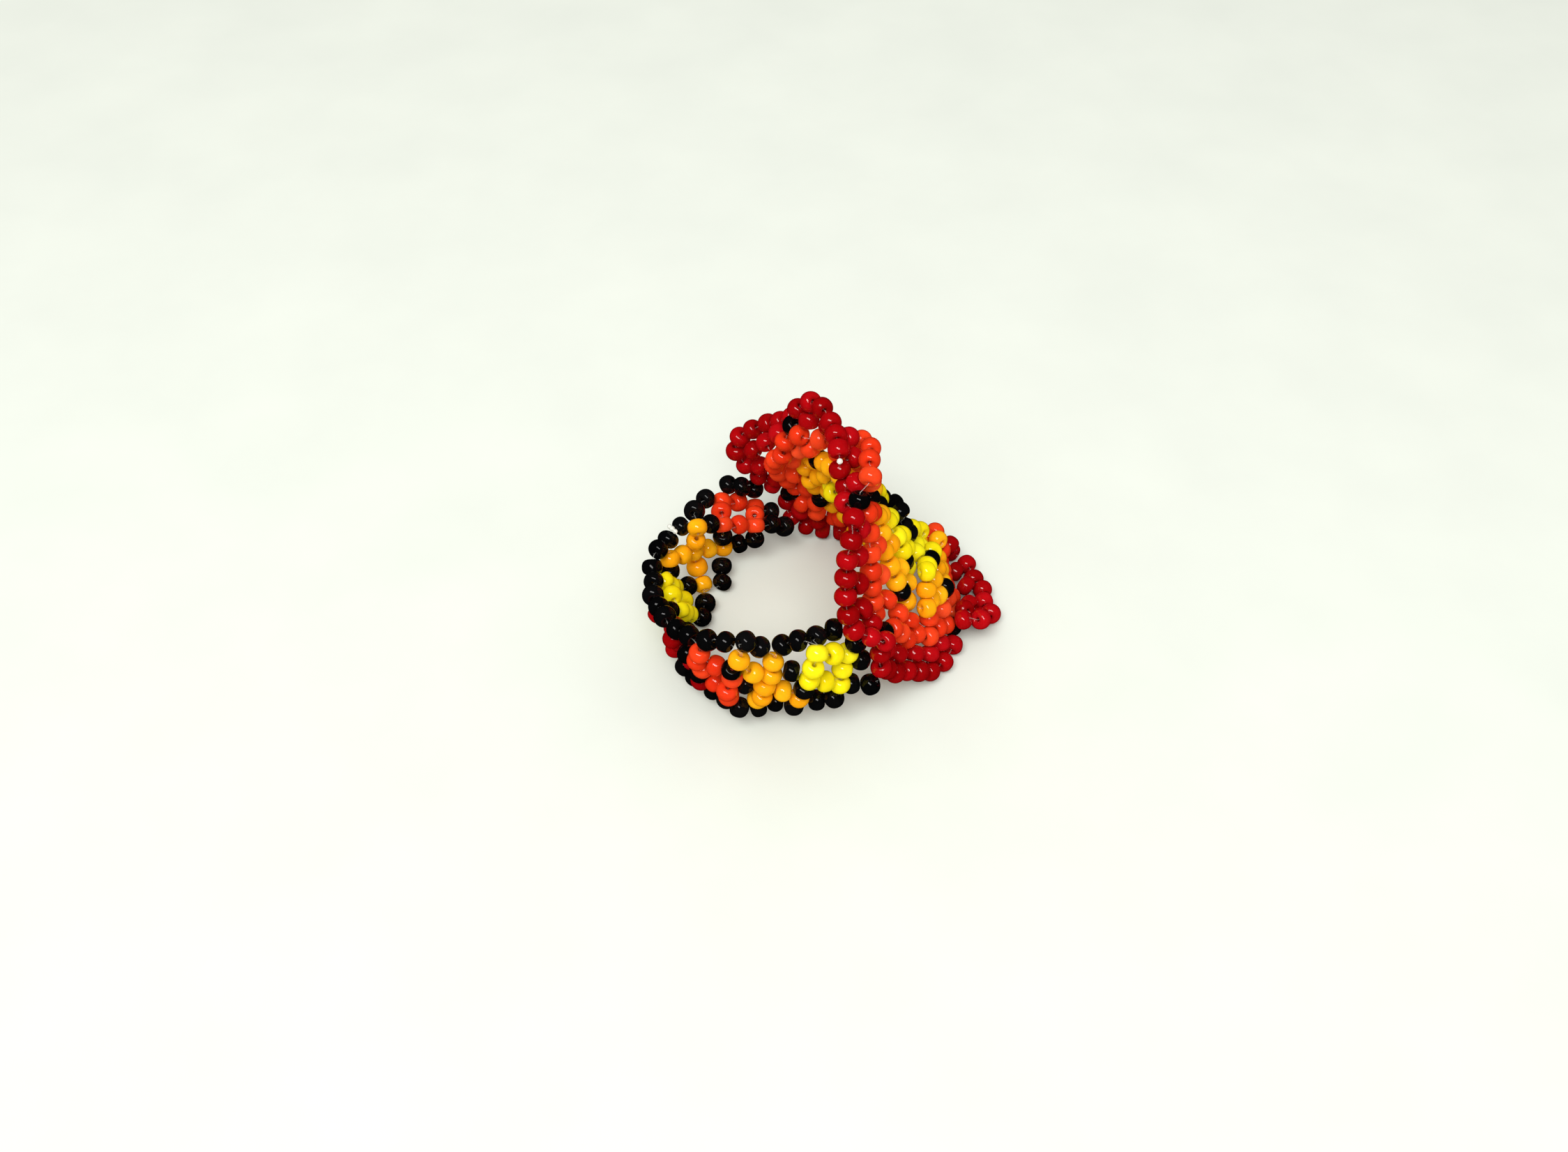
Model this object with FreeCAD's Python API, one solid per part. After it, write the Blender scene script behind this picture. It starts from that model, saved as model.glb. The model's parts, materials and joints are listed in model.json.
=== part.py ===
import FreeCAD, Part
import math
import os

# A netted seed-bead finger ring.  A band seven beads high stands on its lower
# edge with the finger axis vertical, and a ruffled six-petal flower closes it
# on one side.  Every bead is a glass rocaille threaded on clear nylon.
# Millimetres, +Z up, origin on the floor under the middle of the whole piece.

# ---- driving dimensions -------------------------------------------------
BEAD_R = 1.05          # outer radius of a middling rocaille; each bead has its own factors
BEAD_LEN = 1.68        # its length along the thread, before its own factor
BEAD_EDGE_R = 0.62     # rounding of its outer edge
BORE_R = 0.34          # thread hole
BORE_LIP = 0.09        # flare at each mouth of the hole
BARREL = 0.018         # how far the waist of the bead stands proud of its rim
THREAD_R = 0.044       # clear nylon
MERGE = 0.32           # hole mouths closer than this share one corner of the thread
CORNER = 1             # the thread turns a mitred corner at the mouth of a hole
PASS_OFFSET = 0.10     # two passes lie side by side in a shared hole
TAIL = 0.12            # thread left standing past the last bead of a run
JOIN = 0.01            # half the gap where two lengths of thread meet in a bead
STUB = 0.16            # stitch showing at each end of an upright bead
KNOT_R = 0.29          # a drop of melted nylon on a finished knot
MOTIFS = (0, 3, 6, 9, 12, 15, 18)      # columns of the band carrying a motif
MOTIF_NAMES = ("yellow_square_front", "orange_cross_front", "coral_square_left",
               "red_cross_left", "yellow_square_left", "orange_cross_rear",
               "coral_square_rear")
PETALS = (("P1", "V1"), ("P2", "V3"), ("P3", "V4"), ("P4", "V6"), ("P5", "V5"), ("P6", "V2"))
ROWS = (("Y", "yellow", 3, 2), ("O", "orange", 5, 3), ("C", "coral", 7, 4), ("D", "red", 9, 5))

# ---- layout of the net --------------------------------------------------
# key: (centre x, y, z, hole direction x, y, z, width factor, length factor, colour)
# Band beads: (i, j) counts half-cells round the band and across it; "t" and
# "b" are the paired beads of the upper and lower edge.  Flower beads: (valley
# or petal, row, place); "s" rows stand upright between two strung rows.
BEADS = {
    (-1, 0): (1.970, -12.286, 10.633, 0.2855, 0.0862, 0.9545, 1.089, 1.018, "Y"),
    (1, 0): (-1.805, -14.826, 9.610, 0.1474, -0.1990, 0.9689, 1.033, 1.050, "Y"),
    (3, 0): (-6.222, -14.343, 8.156, 0.2044, -0.0346, 0.9783, 1.105, 1.010, "O"),
    (5, 0): (-9.395, -14.213, 9.285, 0.1024, -0.1252, 0.9868, 1.057, 1.010, "C"),
    (7, 0): (-12.426, -12.410, 8.477, -0.1904, -0.2232, 0.9560, 1.041, 0.986, "C"),
    (9, 0): (-13.973, -7.547, 6.994, -0.3628, 0.0656, 0.9295, 1.049, 0.994, "D"),
    (11, 0): (-15.271, -2.572, 6.041, -0.3217, 0.7122, 0.6240, 1.025, 0.978, "Y"),
    (13, 0): (-16.303, 3.410, 3.101, -0.4078, 0.6450, 0.6462, 1.041, 0.978, "Y"),
    (15, 0): (-14.224, 7.012, 5.120, -0.0098, -0.1543, 0.9880, 1.049, 0.986, "O"),
    (17, 0): (-10.962, 8.422, 7.832, -0.1086, 0.6341, 0.7656, 1.025, 0.978, "C"),
    (19, 0): (-7.602, 14.099, 4.951, -0.1008, 0.9042, 0.4151, 1.033, 0.978, "C"),
    (0, 1): (-1.125, -15.094, 13.937, 0.0366, 0.7409, 0.6706, 1.049, 0.986, "Y"),
    (0, -1): (1.296, -13.341, 7.116, 0.1500, 0.1494, 0.9773, 1.041, 0.986, "Y"),
    (2, 1): (-5.341, -14.261, 11.672, 0.2399, 0.2004, 0.9499, 1.033, 0.978, "O"),
    (2, -1): (-2.777, -13.848, 5.575, 0.1897, -0.2545, 0.9483, 1.041, 1.002, "O"),
    (4, 1): (-8.636, -15.357, 13.220, 0.3224, 0.1480, 0.9350, 1.033, 0.986, "O"),
    (4, -1): (-6.977, -13.301, 4.713, 0.0770, -0.3689, 0.9263, 1.041, 0.986, "O"),
    (6, 1): (-12.551, -13.465, 12.014, 0.1901, -0.0730, 0.9791, 1.033, 0.978, "C"),
    (6, -1): (-9.875, -13.383, 5.277, -0.0141, -0.4546, 0.8906, 1.049, 0.994, "C"),
    (8, 1): (-15.404, -9.903, 10.115, -0.2814, 0.0579, 0.9578, 1.057, 0.994, "D"),
    (8, -1): (-12.811, -10.654, 4.413, -0.1057, -0.2777, 0.9548, 1.041, 0.986, "D"),
    (10, 1): (-17.261, -5.136, 8.563, -0.6277, 0.5379, 0.5627, 1.033, 0.986, "D"),
    (10, -1): (-15.705, -5.724, 3.579, -0.1038, 0.3868, 0.9163, 1.025, 0.978, "D"),
    (12, 1): (-17.064, 1.038, 6.717, -0.5933, 0.5908, 0.5467, 1.033, 0.970, "Y"),
    (12, -1): (-14.596, -0.155, 2.723, -0.1890, 0.9503, 0.2474, 1.041, 1.002, "Y"),
    (14, 1): (-16.572, 4.090, 6.962, -0.0663, 0.4022, 0.9131, 1.033, 0.986, "O"),
    (14, -1): (-13.316, 5.623, 1.264, -0.2704, 0.8721, 0.4079, 1.025, 0.970, "O"),
    (16, 1): (-13.585, 5.976, 9.879, -0.1135, 0.8909, 0.4398, 1.041, 0.986, "O"),
    (16, -1): (-11.090, 9.209, 3.442, 0.0059, 0.1759, 0.9844, 1.025, 0.986, "O"),
    (18, 1): (-11.219, 12.705, 7.184, 0.1251, 0.9863, 0.1077, 1.049, 0.986, "C"),
    (18, -1): (-7.482, 10.008, 6.085, -0.0607, 0.7217, 0.6896, 1.033, 0.970, "C"),
    (-0.5, 0.5): (0.489, -13.893, 12.443, -0.6436, -0.6696, 0.3707, 1.105, 1.002, "Y"),
    (-0.5, -0.5): (1.488, -12.852, 8.893, -0.1465, -0.4078, -0.9012, 1.033, 0.986, "Y"),
    (0.5, 0.5): (-1.463, -15.249, 11.880, 0.1704, -0.2345, 0.9571, 1.065, 1.002, "Y"),
    (0.5, -0.5): (-0.264, -14.015, 8.341, 0.8940, 0.3850, -0.2291, 1.049, 0.986, "Y"),
    (1.5, 0.5): (-3.581, -14.637, 10.695, -0.9830, 0.1436, 0.1147, 1.033, 0.978, "K"),
    (1.5, -0.5): (-2.309, -14.375, 7.589, -0.2660, 0.2307, -0.9360, 1.049, 0.986, "K"),
    (2.5, 0.5): (-5.554, -14.302, 9.789, 0.2584, -0.0290, 0.9656, 1.065, 1.010, "O"),
    (2.5, -0.5): (-4.431, -14.111, 6.961, 0.9670, 0.0647, -0.2465, 1.057, 1.010, "O"),
    (3.5, 0.5): (-7.296, -14.929, 10.808, -0.6184, -0.2401, 0.7483, 1.033, 0.986, "O"),
    (3.5, -0.5): (-6.493, -14.212, 6.221, -0.2546, 0.3447, -0.9035, 1.025, 0.994, "O"),
    (4.5, 0.5): (-9.389, -15.052, 11.401, 0.1530, -0.4427, 0.8835, 1.033, 0.986, "K"),
    (4.5, -0.5): (-8.234, -13.250, 7.050, 0.6496, 0.1258, -0.7498, 1.025, 0.994, "K"),
    (5.5, 0.5): (-11.035, -13.807, 10.509, -0.9234, 0.2482, 0.2926, 1.033, 0.978, "C"),
    (5.5, -0.5): (-9.955, -14.570, 7.549, -0.1629, 0.1379, -0.9770, 1.049, 1.010, "C"),
    (6.5, 0.5): (-12.868, -12.870, 10.214, -0.0604, -0.3878, 0.9198, 1.033, 0.978, "C"),
    (6.5, -0.5): (-11.200, -12.804, 6.779, 0.7253, -0.4702, -0.5028, 1.049, 0.994, "C"),
    (7.5, 0.5): (-13.930, -11.212, 9.315, -0.6984, 0.7157, 0.0082, 1.041, 0.986, "K"),
    (7.5, -0.5): (-12.820, -11.277, 6.391, -0.2209, 0.4654, -0.8571, 1.073, 1.026, "K"),
    (8.5, 0.5): (-14.857, -8.826, 8.378, -0.2934, -0.8110, 0.5061, 1.057, 1.002, "D"),
    (8.5, -0.5): (-13.638, -9.217, 5.759, 0.2184, -0.9337, -0.2838, 1.041, 0.986, "D"),
    (9.5, 0.5): (-15.558, -6.513, 7.961, -0.7864, 0.6094, 0.1011, 1.073, 1.018, "D"),
    (9.5, -0.5): (-14.716, -6.496, 5.302, -0.5926, 0.6148, -0.5204, 1.049, 0.994, "D"),
    (10.5, 0.5): (-16.173, -3.831, 7.401, -0.2909, -0.8814, 0.3721, 1.025, 0.978, "K"),
    (10.5, -0.5): (-15.391, -4.262, 4.976, -0.2999, -0.8449, -0.4430, 1.105, 1.010, "K"),
    (11.5, 0.5): (-16.195, -0.781, 6.385, -0.3747, 0.9203, -0.1125, 1.105, 1.018, "Y"),
    (11.5, -0.5): (-14.890, -1.368, 4.443, 0.0534, 0.8265, -0.5604, 1.033, 0.970, "Y"),
    (12.5, 0.5): (-16.494, 1.986, 4.905, 0.0187, -0.7936, 0.6082, 1.017, 0.978, "Y"),
    (12.5, -0.5): (-15.266, 1.655, 2.841, 0.4714, -0.8698, 0.1459, 1.129, 1.002, "Y"),
    (13.5, 0.5): (-16.661, 4.130, 5.042, 0.0506, -0.0783, 0.9956, 1.017, 0.978, "K"),
    (13.5, -0.5): (-14.882, 4.530, 2.142, 0.5560, 0.8019, -0.2187, 1.041, 0.978, "K"),
    (14.5, 0.5): (-15.328, 5.488, 6.143, -0.5883, -0.8062, 0.0630, 1.033, 0.986, "O"),
    (14.5, -0.5): (-13.914, 6.694, 2.910, 0.2338, -0.2733, -0.9331, 1.137, 1.050, "O"),
    (15.5, 0.5): (-13.825, 6.068, 7.741, 0.1859, -0.4143, 0.8910, 1.025, 1.034, "O"),
    (15.5, -0.5): (-12.710, 8.226, 4.276, 0.8163, 0.5777, -0.0055, 1.041, 0.986, "O"),
    (16.5, 0.5): (-12.252, 7.324, 9.021, -0.5330, -0.8153, 0.2262, 1.025, 0.978, "K"),
    (16.5, -0.5): (-11.061, 8.690, 5.744, -0.0656, 0.4481, -0.8916, 1.049, 1.026, "K"),
    (17.5, 0.5): (-11.199, 10.533, 7.735, -0.0836, 0.9008, -0.4260, 1.097, 1.018, "C"),
    (17.5, -0.5): (-9.220, 9.303, 6.955, 0.7689, 0.6278, -0.1208, 1.033, 0.970, "C"),
    (18.5, 0.5): (-9.464, 13.526, 6.312, -0.7226, -0.5923, 0.3563, 1.049, 1.026, "C"),
    (18.5, -0.5): (-7.553, 12.120, 5.671, -0.0046, -0.7973, 0.6036, 1.033, 1.002, "C"),
    (19.5, 0.5): (-7.679, 15.028, 6.880, 0.1178, 0.0290, 0.9926, 1.033, 1.026, "K"),
    (19.5, -0.5): (-5.762, 14.142, 4.200, 0.8984, 0.2851, -0.3342, 1.033, 0.978, "K"),
    (-1.5, 0.5): (2.742, -12.409, 12.398, 0.5934, -0.2122, 0.7764, 1.057, 1.002, "K"),
    (-1.5, -0.5): (3.380, -11.790, 9.031, 0.9002, 0.1248, -0.4173, 1.033, 0.986, "K"),
    ("t", -2, 1): (0.545, -11.733, 13.515, -0.9972, -0.0642, 0.0386, 1.081, 1.026, "K"),
    ("t", -2, 2): (-1.167, -12.916, 13.881, -0.4909, -0.8197, 0.2950, 1.049, 0.986, "K"),
    ("b", -2, 1): (4.387, -12.724, 6.274, -0.8220, 0.0716, -0.5650, 1.065, 1.050, "K"),
    ("b", -2, 2): (2.508, -12.118, 5.673, -0.9743, -0.2251, 0.0065, 1.041, 0.986, "K"),
    ("t", 0, 1): (-2.948, -13.970, 14.484, -0.9149, 0.2485, -0.3181, 1.049, 0.986, "K"),
    ("t", 0, 2): (-4.463, -13.557, 13.329, -0.7357, -0.0409, -0.6760, 1.049, 0.994, "K"),
    ("b", 0, 1): (0.755, -13.536, 5.212, -0.7423, 0.0923, -0.6637, 1.081, 1.002, "K"),
    ("b", 0, 2): (-1.009, -13.196, 4.347, -0.9928, -0.0263, -0.1165, 1.041, 1.002, "K"),
    ("t", 2, 1): (-6.614, -14.006, 13.552, -0.7459, -0.1100, 0.6569, 1.049, 0.994, "K"),
    ("t", 2, 2): (-7.960, -14.508, 14.954, -0.8012, -0.5612, 0.2076, 1.041, 1.018, "K"),
    ("b", 2, 1): (-3.290, -13.348, 3.721, -0.8301, 0.3307, -0.4490, 1.057, 1.002, "K"),
    ("b", 2, 2): (-5.174, -12.742, 3.568, -0.9939, 0.0946, 0.0568, 1.049, 1.010, "K"),
    ("t", 4, 1): (-9.947, -14.016, 14.336, -0.8827, 0.4690, -0.0296, 1.033, 0.986, "K"),
    ("t", 4, 2): (-11.767, -13.425, 13.891, -0.8403, 0.1681, -0.5154, 1.081, 1.018, "K"),
    ("b", 4, 1): (-6.956, -12.791, 2.771, -0.9383, -0.2063, -0.2775, 1.049, 0.986, "K"),
    ("b", 4, 2): (-8.830, -13.384, 3.407, -0.8541, -0.0617, 0.5164, 1.033, 0.978, "K"),
    ("t", 6, 1): (-13.612, -11.790, 12.703, -0.6260, 0.7603, -0.1734, 1.033, 0.978, "K"),
    ("t", 6, 2): (-14.888, -10.495, 12.145, -0.6105, 0.5823, -0.5369, 1.057, 0.994, "K"),
    ("b", 6, 1): (-10.181, -11.912, 2.924, -0.4800, 0.7032, -0.5244, 1.033, 0.978, "K"),
    ("b", 6, 2): (-11.614, -10.435, 2.615, -0.8400, 0.4927, 0.2271, 1.049, 1.002, "K"),
    ("t", 8, 1): (-16.288, -7.893, 11.146, -0.3418, 0.9337, -0.1065, 1.113, 1.018, "K"),
    ("t", 8, 2): (-17.042, -6.025, 10.483, -0.3640, 0.7782, -0.5118, 1.033, 0.986, "K"),
    ("b", 8, 1): (-13.449, -9.067, 3.126, -0.5119, 0.8248, -0.2399, 1.097, 0.994, "K"),
    ("b", 8, 2): (-14.615, -7.371, 2.723, -0.5813, 0.8092, -0.0850, 1.065, 1.010, "K"),
    ("t", 10, 1): (-17.898, -2.771, 8.698, -0.0475, 0.9768, -0.2086, 1.113, 1.034, "K"),
    ("t", 10, 2): (-18.003, -0.286, 8.097, 0.0734, 0.9403, -0.3325, 1.033, 0.970, "K"),
    ("b", 10, 1): (-15.257, -4.111, 2.301, 0.2107, 0.9703, -0.1187, 1.025, 0.978, "K"),
    ("b", 10, 2): (-14.773, -2.158, 2.333, 0.2509, 0.9658, 0.0655, 1.033, 0.970, "K"),
    ("t", 12, 1): (-18.298, 1.800, 8.091, -0.0495, 0.7825, 0.6207, 1.065, 1.002, "K"),
    ("t", 12, 2): (-17.697, 3.662, 8.864, 0.5330, 0.8382, -0.1155, 1.049, 1.002, "K"),
    ("b", 12, 1): (-13.264, 0.785, 1.253, 0.3448, 0.8884, -0.3031, 1.041, 1.002, "K"),
    ("b", 12, 2): (-12.950, 2.877, 1.209, 0.0424, 0.9959, -0.0804, 1.113, 1.034, "K"),
    ("t", 14, 1): (-16.782, 5.718, 8.285, 0.4017, 0.8096, 0.4279, 1.113, 0.994, "K"),
    ("t", 14, 2): (-15.378, 6.947, 9.060, 0.8150, 0.2643, 0.5157, 1.025, 0.986, "K"),
    ("b", 14, 1): (-11.167, 6.019, 1.245, 0.5068, 0.8248, 0.2507, 1.025, 0.970, "K"),
    ("b", 14, 2): (-11.261, 7.866, 1.826, 0.0215, 0.9116, 0.4106, 1.097, 1.026, "K"),
    ("t", 16, 1): (-14.047, 9.119, 9.235, 0.1262, 0.9301, -0.3450, 1.137, 1.066, "K"),
    ("t", 16, 2): (-12.965, 11.996, 8.293, 0.5190, 0.7811, -0.3471, 1.049, 0.986, "K"),
    ("b", 16, 1): (-9.359, 10.339, 2.887, 0.9040, 0.2691, 0.3322, 1.025, 0.986, "K"),
    ("b", 16, 2): (-7.578, 10.109, 3.908, 0.5697, -0.2767, 0.7739, 1.049, 1.010, "K"),
    ("t", 18, 1): (-10.522, 14.501, 8.055, 0.8208, -0.0447, 0.5694, 1.049, 0.994, "K"),
    ("t", 18, 2): (-8.961, 13.416, 8.768, 0.9515, -0.0632, 0.3010, 1.073, 1.010, "K"),
    ("b", 18, 1): (-5.671, 10.887, 5.448, 0.6947, 0.6109, -0.3799, 1.033, 1.002, "K"),
    ("b", 18, 2): (-4.291, 12.164, 3.789, 0.4804, 0.6911, -0.5400, 1.129, 1.074, "K"),
    ("V1", "R"): (6.458, 3.030, 15.359, 0.5380, -0.7178, 0.4420, 1.041, 1.002, "K"),
    ("V1", "Y"): (5.089, 0.098, 18.942, 0.2781, -0.9339, -0.2246, 1.033, 0.970, "K"),
    ("V1", "O"): (4.018, -2.615, 22.560, 0.2326, -0.8776, -0.4193, 1.081, 1.010, "K"),
    ("V1", "C"): (2.809, -6.395, 25.956, -0.0623, -0.3539, -0.9332, 1.025, 0.970, "K"),
    ("V3", "R"): (7.926, 1.577, 14.425, 0.2810, 0.1281, -0.9511, 1.041, 1.002, "K"),
    ("V3", "Y"): (7.917, -2.090, 13.095, 0.1948, 0.2501, -0.9484, 1.065, 1.002, "K"),
    ("V3", "O"): (7.455, -5.801, 12.625, 0.2905, 0.2102, -0.9335, 1.057, 1.026, "K"),
    ("V3", "C"): (5.582, -10.410, 11.615, 0.6600, -0.0182, -0.7510, 1.049, 1.002, "K"),
    ("V4", "R"): (7.872, 2.424, 10.903, -0.2302, 0.5001, -0.8348, 1.033, 0.978, "K"),
    ("V4", "Y"): (11.073, 1.344, 9.656, 0.2057, 0.8858, -0.4159, 1.041, 1.002, "K"),
    ("V4", "O"): (12.742, 0.280, 6.442, 0.1983, 0.8852, -0.4209, 1.049, 1.034, "K"),
    ("V4", "C"): (13.828, -1.241, 2.045, 0.2750, 0.8496, -0.4500, 1.017, 0.994, "K"),
    ("V6", "R"): (8.319, 4.252, 11.816, -0.0692, 0.6774, 0.7323, 1.033, 0.986, "K"),
    ("V6", "Y"): (8.399, 6.649, 7.708, -0.8712, 0.4843, -0.0804, 1.049, 1.042, "K"),
    ("V6", "O"): (9.160, 8.169, 5.030, -0.9595, 0.2639, -0.0988, 1.025, 0.978, "K"),
    ("V6", "C"): (12.404, 11.847, 1.859, -0.9458, 0.1179, -0.3024, 1.025, 0.978, "K"),
    ("V5", "R"): (7.500, 8.113, 11.360, -0.6651, 0.6369, 0.3899, 1.025, 0.994, "K"),
    ("V5", "Y"): (2.450, 8.893, 11.129, -0.6115, -0.2098, 0.7630, 1.025, 0.994, "K"),
    ("V5", "O"): (-0.216, 10.913, 9.487, -0.5388, -0.0777, 0.8389, 1.033, 0.978, "K"),
    ("V5", "C"): (-3.637, 14.568, 6.801, -0.3575, 0.3227, 0.8764, 1.065, 0.994, "K"),
    ("V2", "R"): (5.209, 6.133, 13.794, -0.1519, -0.8273, 0.5408, 1.049, 0.994, "K"),
    ("V2", "Y"): (2.014, 6.000, 16.792, 0.6245, -0.2400, 0.7432, 1.057, 1.010, "K"),
    ("V2", "O"): (-0.724, 6.981, 18.829, 0.2270, -0.7587, 0.6106, 1.041, 1.018, "K"),
    ("V2", "C"): (-3.388, 8.327, 22.248, 0.4652, -0.4984, 0.7315, 1.097, 1.026, "K"),
    ("P1", "R"): (7.523, 1.733, 16.426, 0.6476, -0.6411, -0.4118, 1.033, 0.986, "K"),
    ("P1", "Y", 1): (6.010, -1.445, 18.130, 0.5088, -0.5887, -0.6281, 1.049, 0.986, "Y"),
    ("P1", "Y", 2): (6.974, -2.084, 16.615, 0.4365, -0.2416, -0.8667, 1.041, 0.986, "Y"),
    ("P1", "Y", 3): (7.639, -2.347, 14.896, 0.2588, -0.0018, -0.9659, 1.033, 0.986, "Y"),
    ("P1", "O", 1): (4.776, -3.729, 21.164, 0.3215, -0.5128, -0.7960, 1.041, 0.994, "O"),
    ("P1", "O", 2): (5.208, -4.512, 19.616, 0.1937, -0.4654, -0.8637, 1.033, 0.978, "O"),
    ("P1", "O", 3): (5.481, -5.421, 18.024, 0.2719, -0.3315, -0.9034, 1.041, 0.986, "O"),
    ("P1", "O", 4): (6.225, -5.752, 16.236, 0.3591, -0.1850, -0.9148, 1.033, 0.970, "O"),
    ("P1", "O", 5): (6.878, -6.142, 14.463, 0.3224, -0.0129, -0.9465, 1.033, 0.978, "O"),
    ("P1", "C", 1): (3.612, -6.199, 24.094, 0.2615, -0.1732, -0.9496, 1.033, 0.986, "C"),
    ("P1", "C", 2): (3.828, -7.070, 22.255, 0.0960, -0.4621, -0.8816, 1.057, 1.002, "C"),
    ("P1", "C", 3): (4.003, -8.079, 20.507, 0.0757, -0.3963, -0.9150, 1.033, 0.978, "C"),
    ("P1", "C", 4): (4.126, -8.628, 18.657, 0.0528, -0.2400, -0.9693, 1.073, 1.010, "C"),
    ("P1", "C", 5): (4.207, -9.007, 16.757, 0.0774, -0.1154, -0.9903, 1.025, 0.970, "C"),
    ("P1", "C", 6): (4.427, -9.078, 14.796, 0.1186, 0.0021, -0.9929, 1.105, 1.042, "C"),
    ("P1", "C", 7): (4.674, -8.999, 12.845, 0.3174, -0.3661, -0.8748, 1.057, 0.994, "C"),
    ("P1", "D", 1): (2.210, -8.706, 25.893, -0.1981, -0.8772, -0.4374, 1.033, 1.010, "D"),
    ("P1", "D", 2): (2.007, -9.951, 24.183, -0.1368, -0.5037, -0.8530, 1.057, 0.994, "D"),
    ("P1", "D", 3): (1.646, -10.784, 22.374, -0.1002, -0.3100, -0.9455, 1.033, 0.978, "D"),
    ("P1", "D", 4): (1.604, -11.196, 20.385, -0.0168, -0.2437, -0.9697, 1.121, 1.002, "D"),
    ("P1", "D", 5): (1.578, -11.773, 18.439, 0.0678, -0.3244, -0.9435, 1.081, 1.018, "D"),
    ("P1", "D", 6): (1.877, -12.503, 16.583, 0.2317, -0.2843, -0.9303, 1.073, 1.010, "D"),
    ("P1", "D", 7): (2.483, -12.884, 14.803, 0.6251, -0.1105, -0.7727, 1.073, 1.010, "D"),
    ("P1", "D", 8): (4.155, -12.906, 13.768, 0.8037, 0.1300, -0.5806, 1.025, 0.970, "D"),
    ("P1", "D", 9): (5.629, -12.375, 12.531, 0.3972, 0.6950, -0.5994, 1.017, 1.002, "D"),
    ("P2", "R"): (8.602, 2.225, 12.773, -0.0150, 0.2337, -0.9722, 1.041, 1.010, "K"),
    ("P2", "Y", 1): (8.386, -1.387, 11.256, 0.8846, -0.0984, -0.4559, 1.065, 1.002, "Y"),
    ("P2", "Y", 2): (10.334, -2.359, 11.849, 0.9310, 0.3183, -0.1784, 1.025, 0.962, "Y"),
    ("P2", "Y", 3): (10.556, -0.645, 10.840, 0.1692, 0.8480, -0.5022, 1.033, 0.978, "Y"),
    ("P2", "O", 1): (8.039, -5.302, 10.735, 0.2284, 0.4403, -0.8683, 1.033, 0.970, "O"),
    ("P2", "O", 2): (8.358, -4.059, 9.191, 0.7526, 0.2141, -0.6227, 1.041, 0.978, "O"),
    ("P2", "O", 3): (10.406, -4.629, 8.776, 0.8448, 0.3952, -0.3609, 1.033, 0.970, "O"),
    ("P2", "O", 4): (10.946, -2.848, 8.085, 0.3783, 0.8287, -0.4124, 1.025, 0.962, "O"),
    ("P2", "O", 5): (11.897, -1.363, 7.151, 0.4532, 0.7892, -0.4145, 1.033, 0.978, "O"),
    ("P2", "C", 1): (6.642, -9.053, 10.606, 0.4619, 0.5714, -0.6783, 1.041, 0.978, "C"),
    ("P2", "C", 2): (7.505, -8.031, 8.791, 0.3762, 0.4081, -0.8318, 1.033, 0.986, "C"),
    ("P2", "C", 3): (8.291, -7.265, 6.960, 0.4725, 0.5610, -0.6797, 1.033, 0.970, "C"),
    ("P2", "C", 4): (9.407, -5.772, 6.054, 0.6824, 0.5299, -0.5035, 1.057, 1.010, "C"),
    ("P2", "C", 5): (10.868, -5.263, 5.059, 0.7013, 0.5886, -0.4021, 1.033, 1.010, "C"),
    ("P2", "C", 6): (11.862, -3.712, 4.647, 0.4952, 0.7651, -0.4116, 1.033, 0.986, "C"),
    ("P2", "C", 7): (12.876, -2.161, 3.390, 0.4805, 0.6039, -0.6360, 1.041, 0.978, "C"),
    ("P2", "D", 1): (5.238, -12.157, 10.351, -0.0411, -0.4320, -0.9009, 1.025, 0.962, "D"),
    ("P2", "D", 2): (5.424, -12.074, 8.143, 0.2123, 0.3009, -0.9297, 1.049, 0.986, "D"),
    ("P2", "D", 3): (6.109, -10.922, 6.536, 0.3997, 0.4802, -0.7808, 1.065, 1.026, "D"),
    ("P2", "D", 4): (7.094, -10.067, 4.879, 0.5761, 0.4858, -0.6574, 1.049, 0.986, "D"),
    ("P2", "D", 5): (8.426, -8.968, 3.892, 0.6556, 0.5155, -0.5518, 1.049, 0.986, "D"),
    ("P2", "D", 6): (9.725, -7.999, 2.666, 0.6537, 0.4705, -0.5927, 1.121, 1.018, "D"),
    ("P2", "D", 7): (11.122, -7.027, 1.448, 0.7037, 0.6131, -0.3591, 1.025, 0.978, "D"),
    ("P2", "D", 8): (12.598, -5.495, 1.199, 0.5656, 0.8234, -0.0452, 1.057, 0.994, "D"),
    ("P2", "D", 9): (13.769, -3.174, 1.236, 0.2728, 0.9436, 0.1876, 1.065, 1.042, "D"),
    ("P3", "R"): (7.739, 4.100, 9.642, 0.2141, 0.8740, 0.4363, 1.041, 0.978, "K"),
    ("P3", "Y", 1): (11.432, 3.127, 9.070, -0.2357, 0.8938, -0.3816, 1.049, 0.986, "Y"),
    ("P3", "Y", 2): (10.239, 4.508, 8.305, -0.2975, 0.9496, -0.0985, 1.033, 1.010, "Y"),
    ("P3", "Y", 3): (10.351, 6.576, 8.712, -0.6376, 0.7421, -0.2069, 1.049, 0.986, "Y"),
    ("P3", "O", 1): (12.642, 1.966, 5.568, -0.0703, 0.9725, -0.2221, 1.033, 0.970, "O"),
    ("P3", "O", 2): (12.490, 3.773, 5.644, -0.0619, 0.9951, -0.0766, 1.041, 0.986, "O"),
    ("P3", "O", 3): (12.408, 5.733, 5.278, 0.0147, 0.9852, 0.1709, 1.033, 0.978, "O"),
    ("P3", "O", 4): (12.546, 7.545, 6.299, -0.5948, 0.7929, -0.1327, 1.049, 0.994, "O"),
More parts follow.
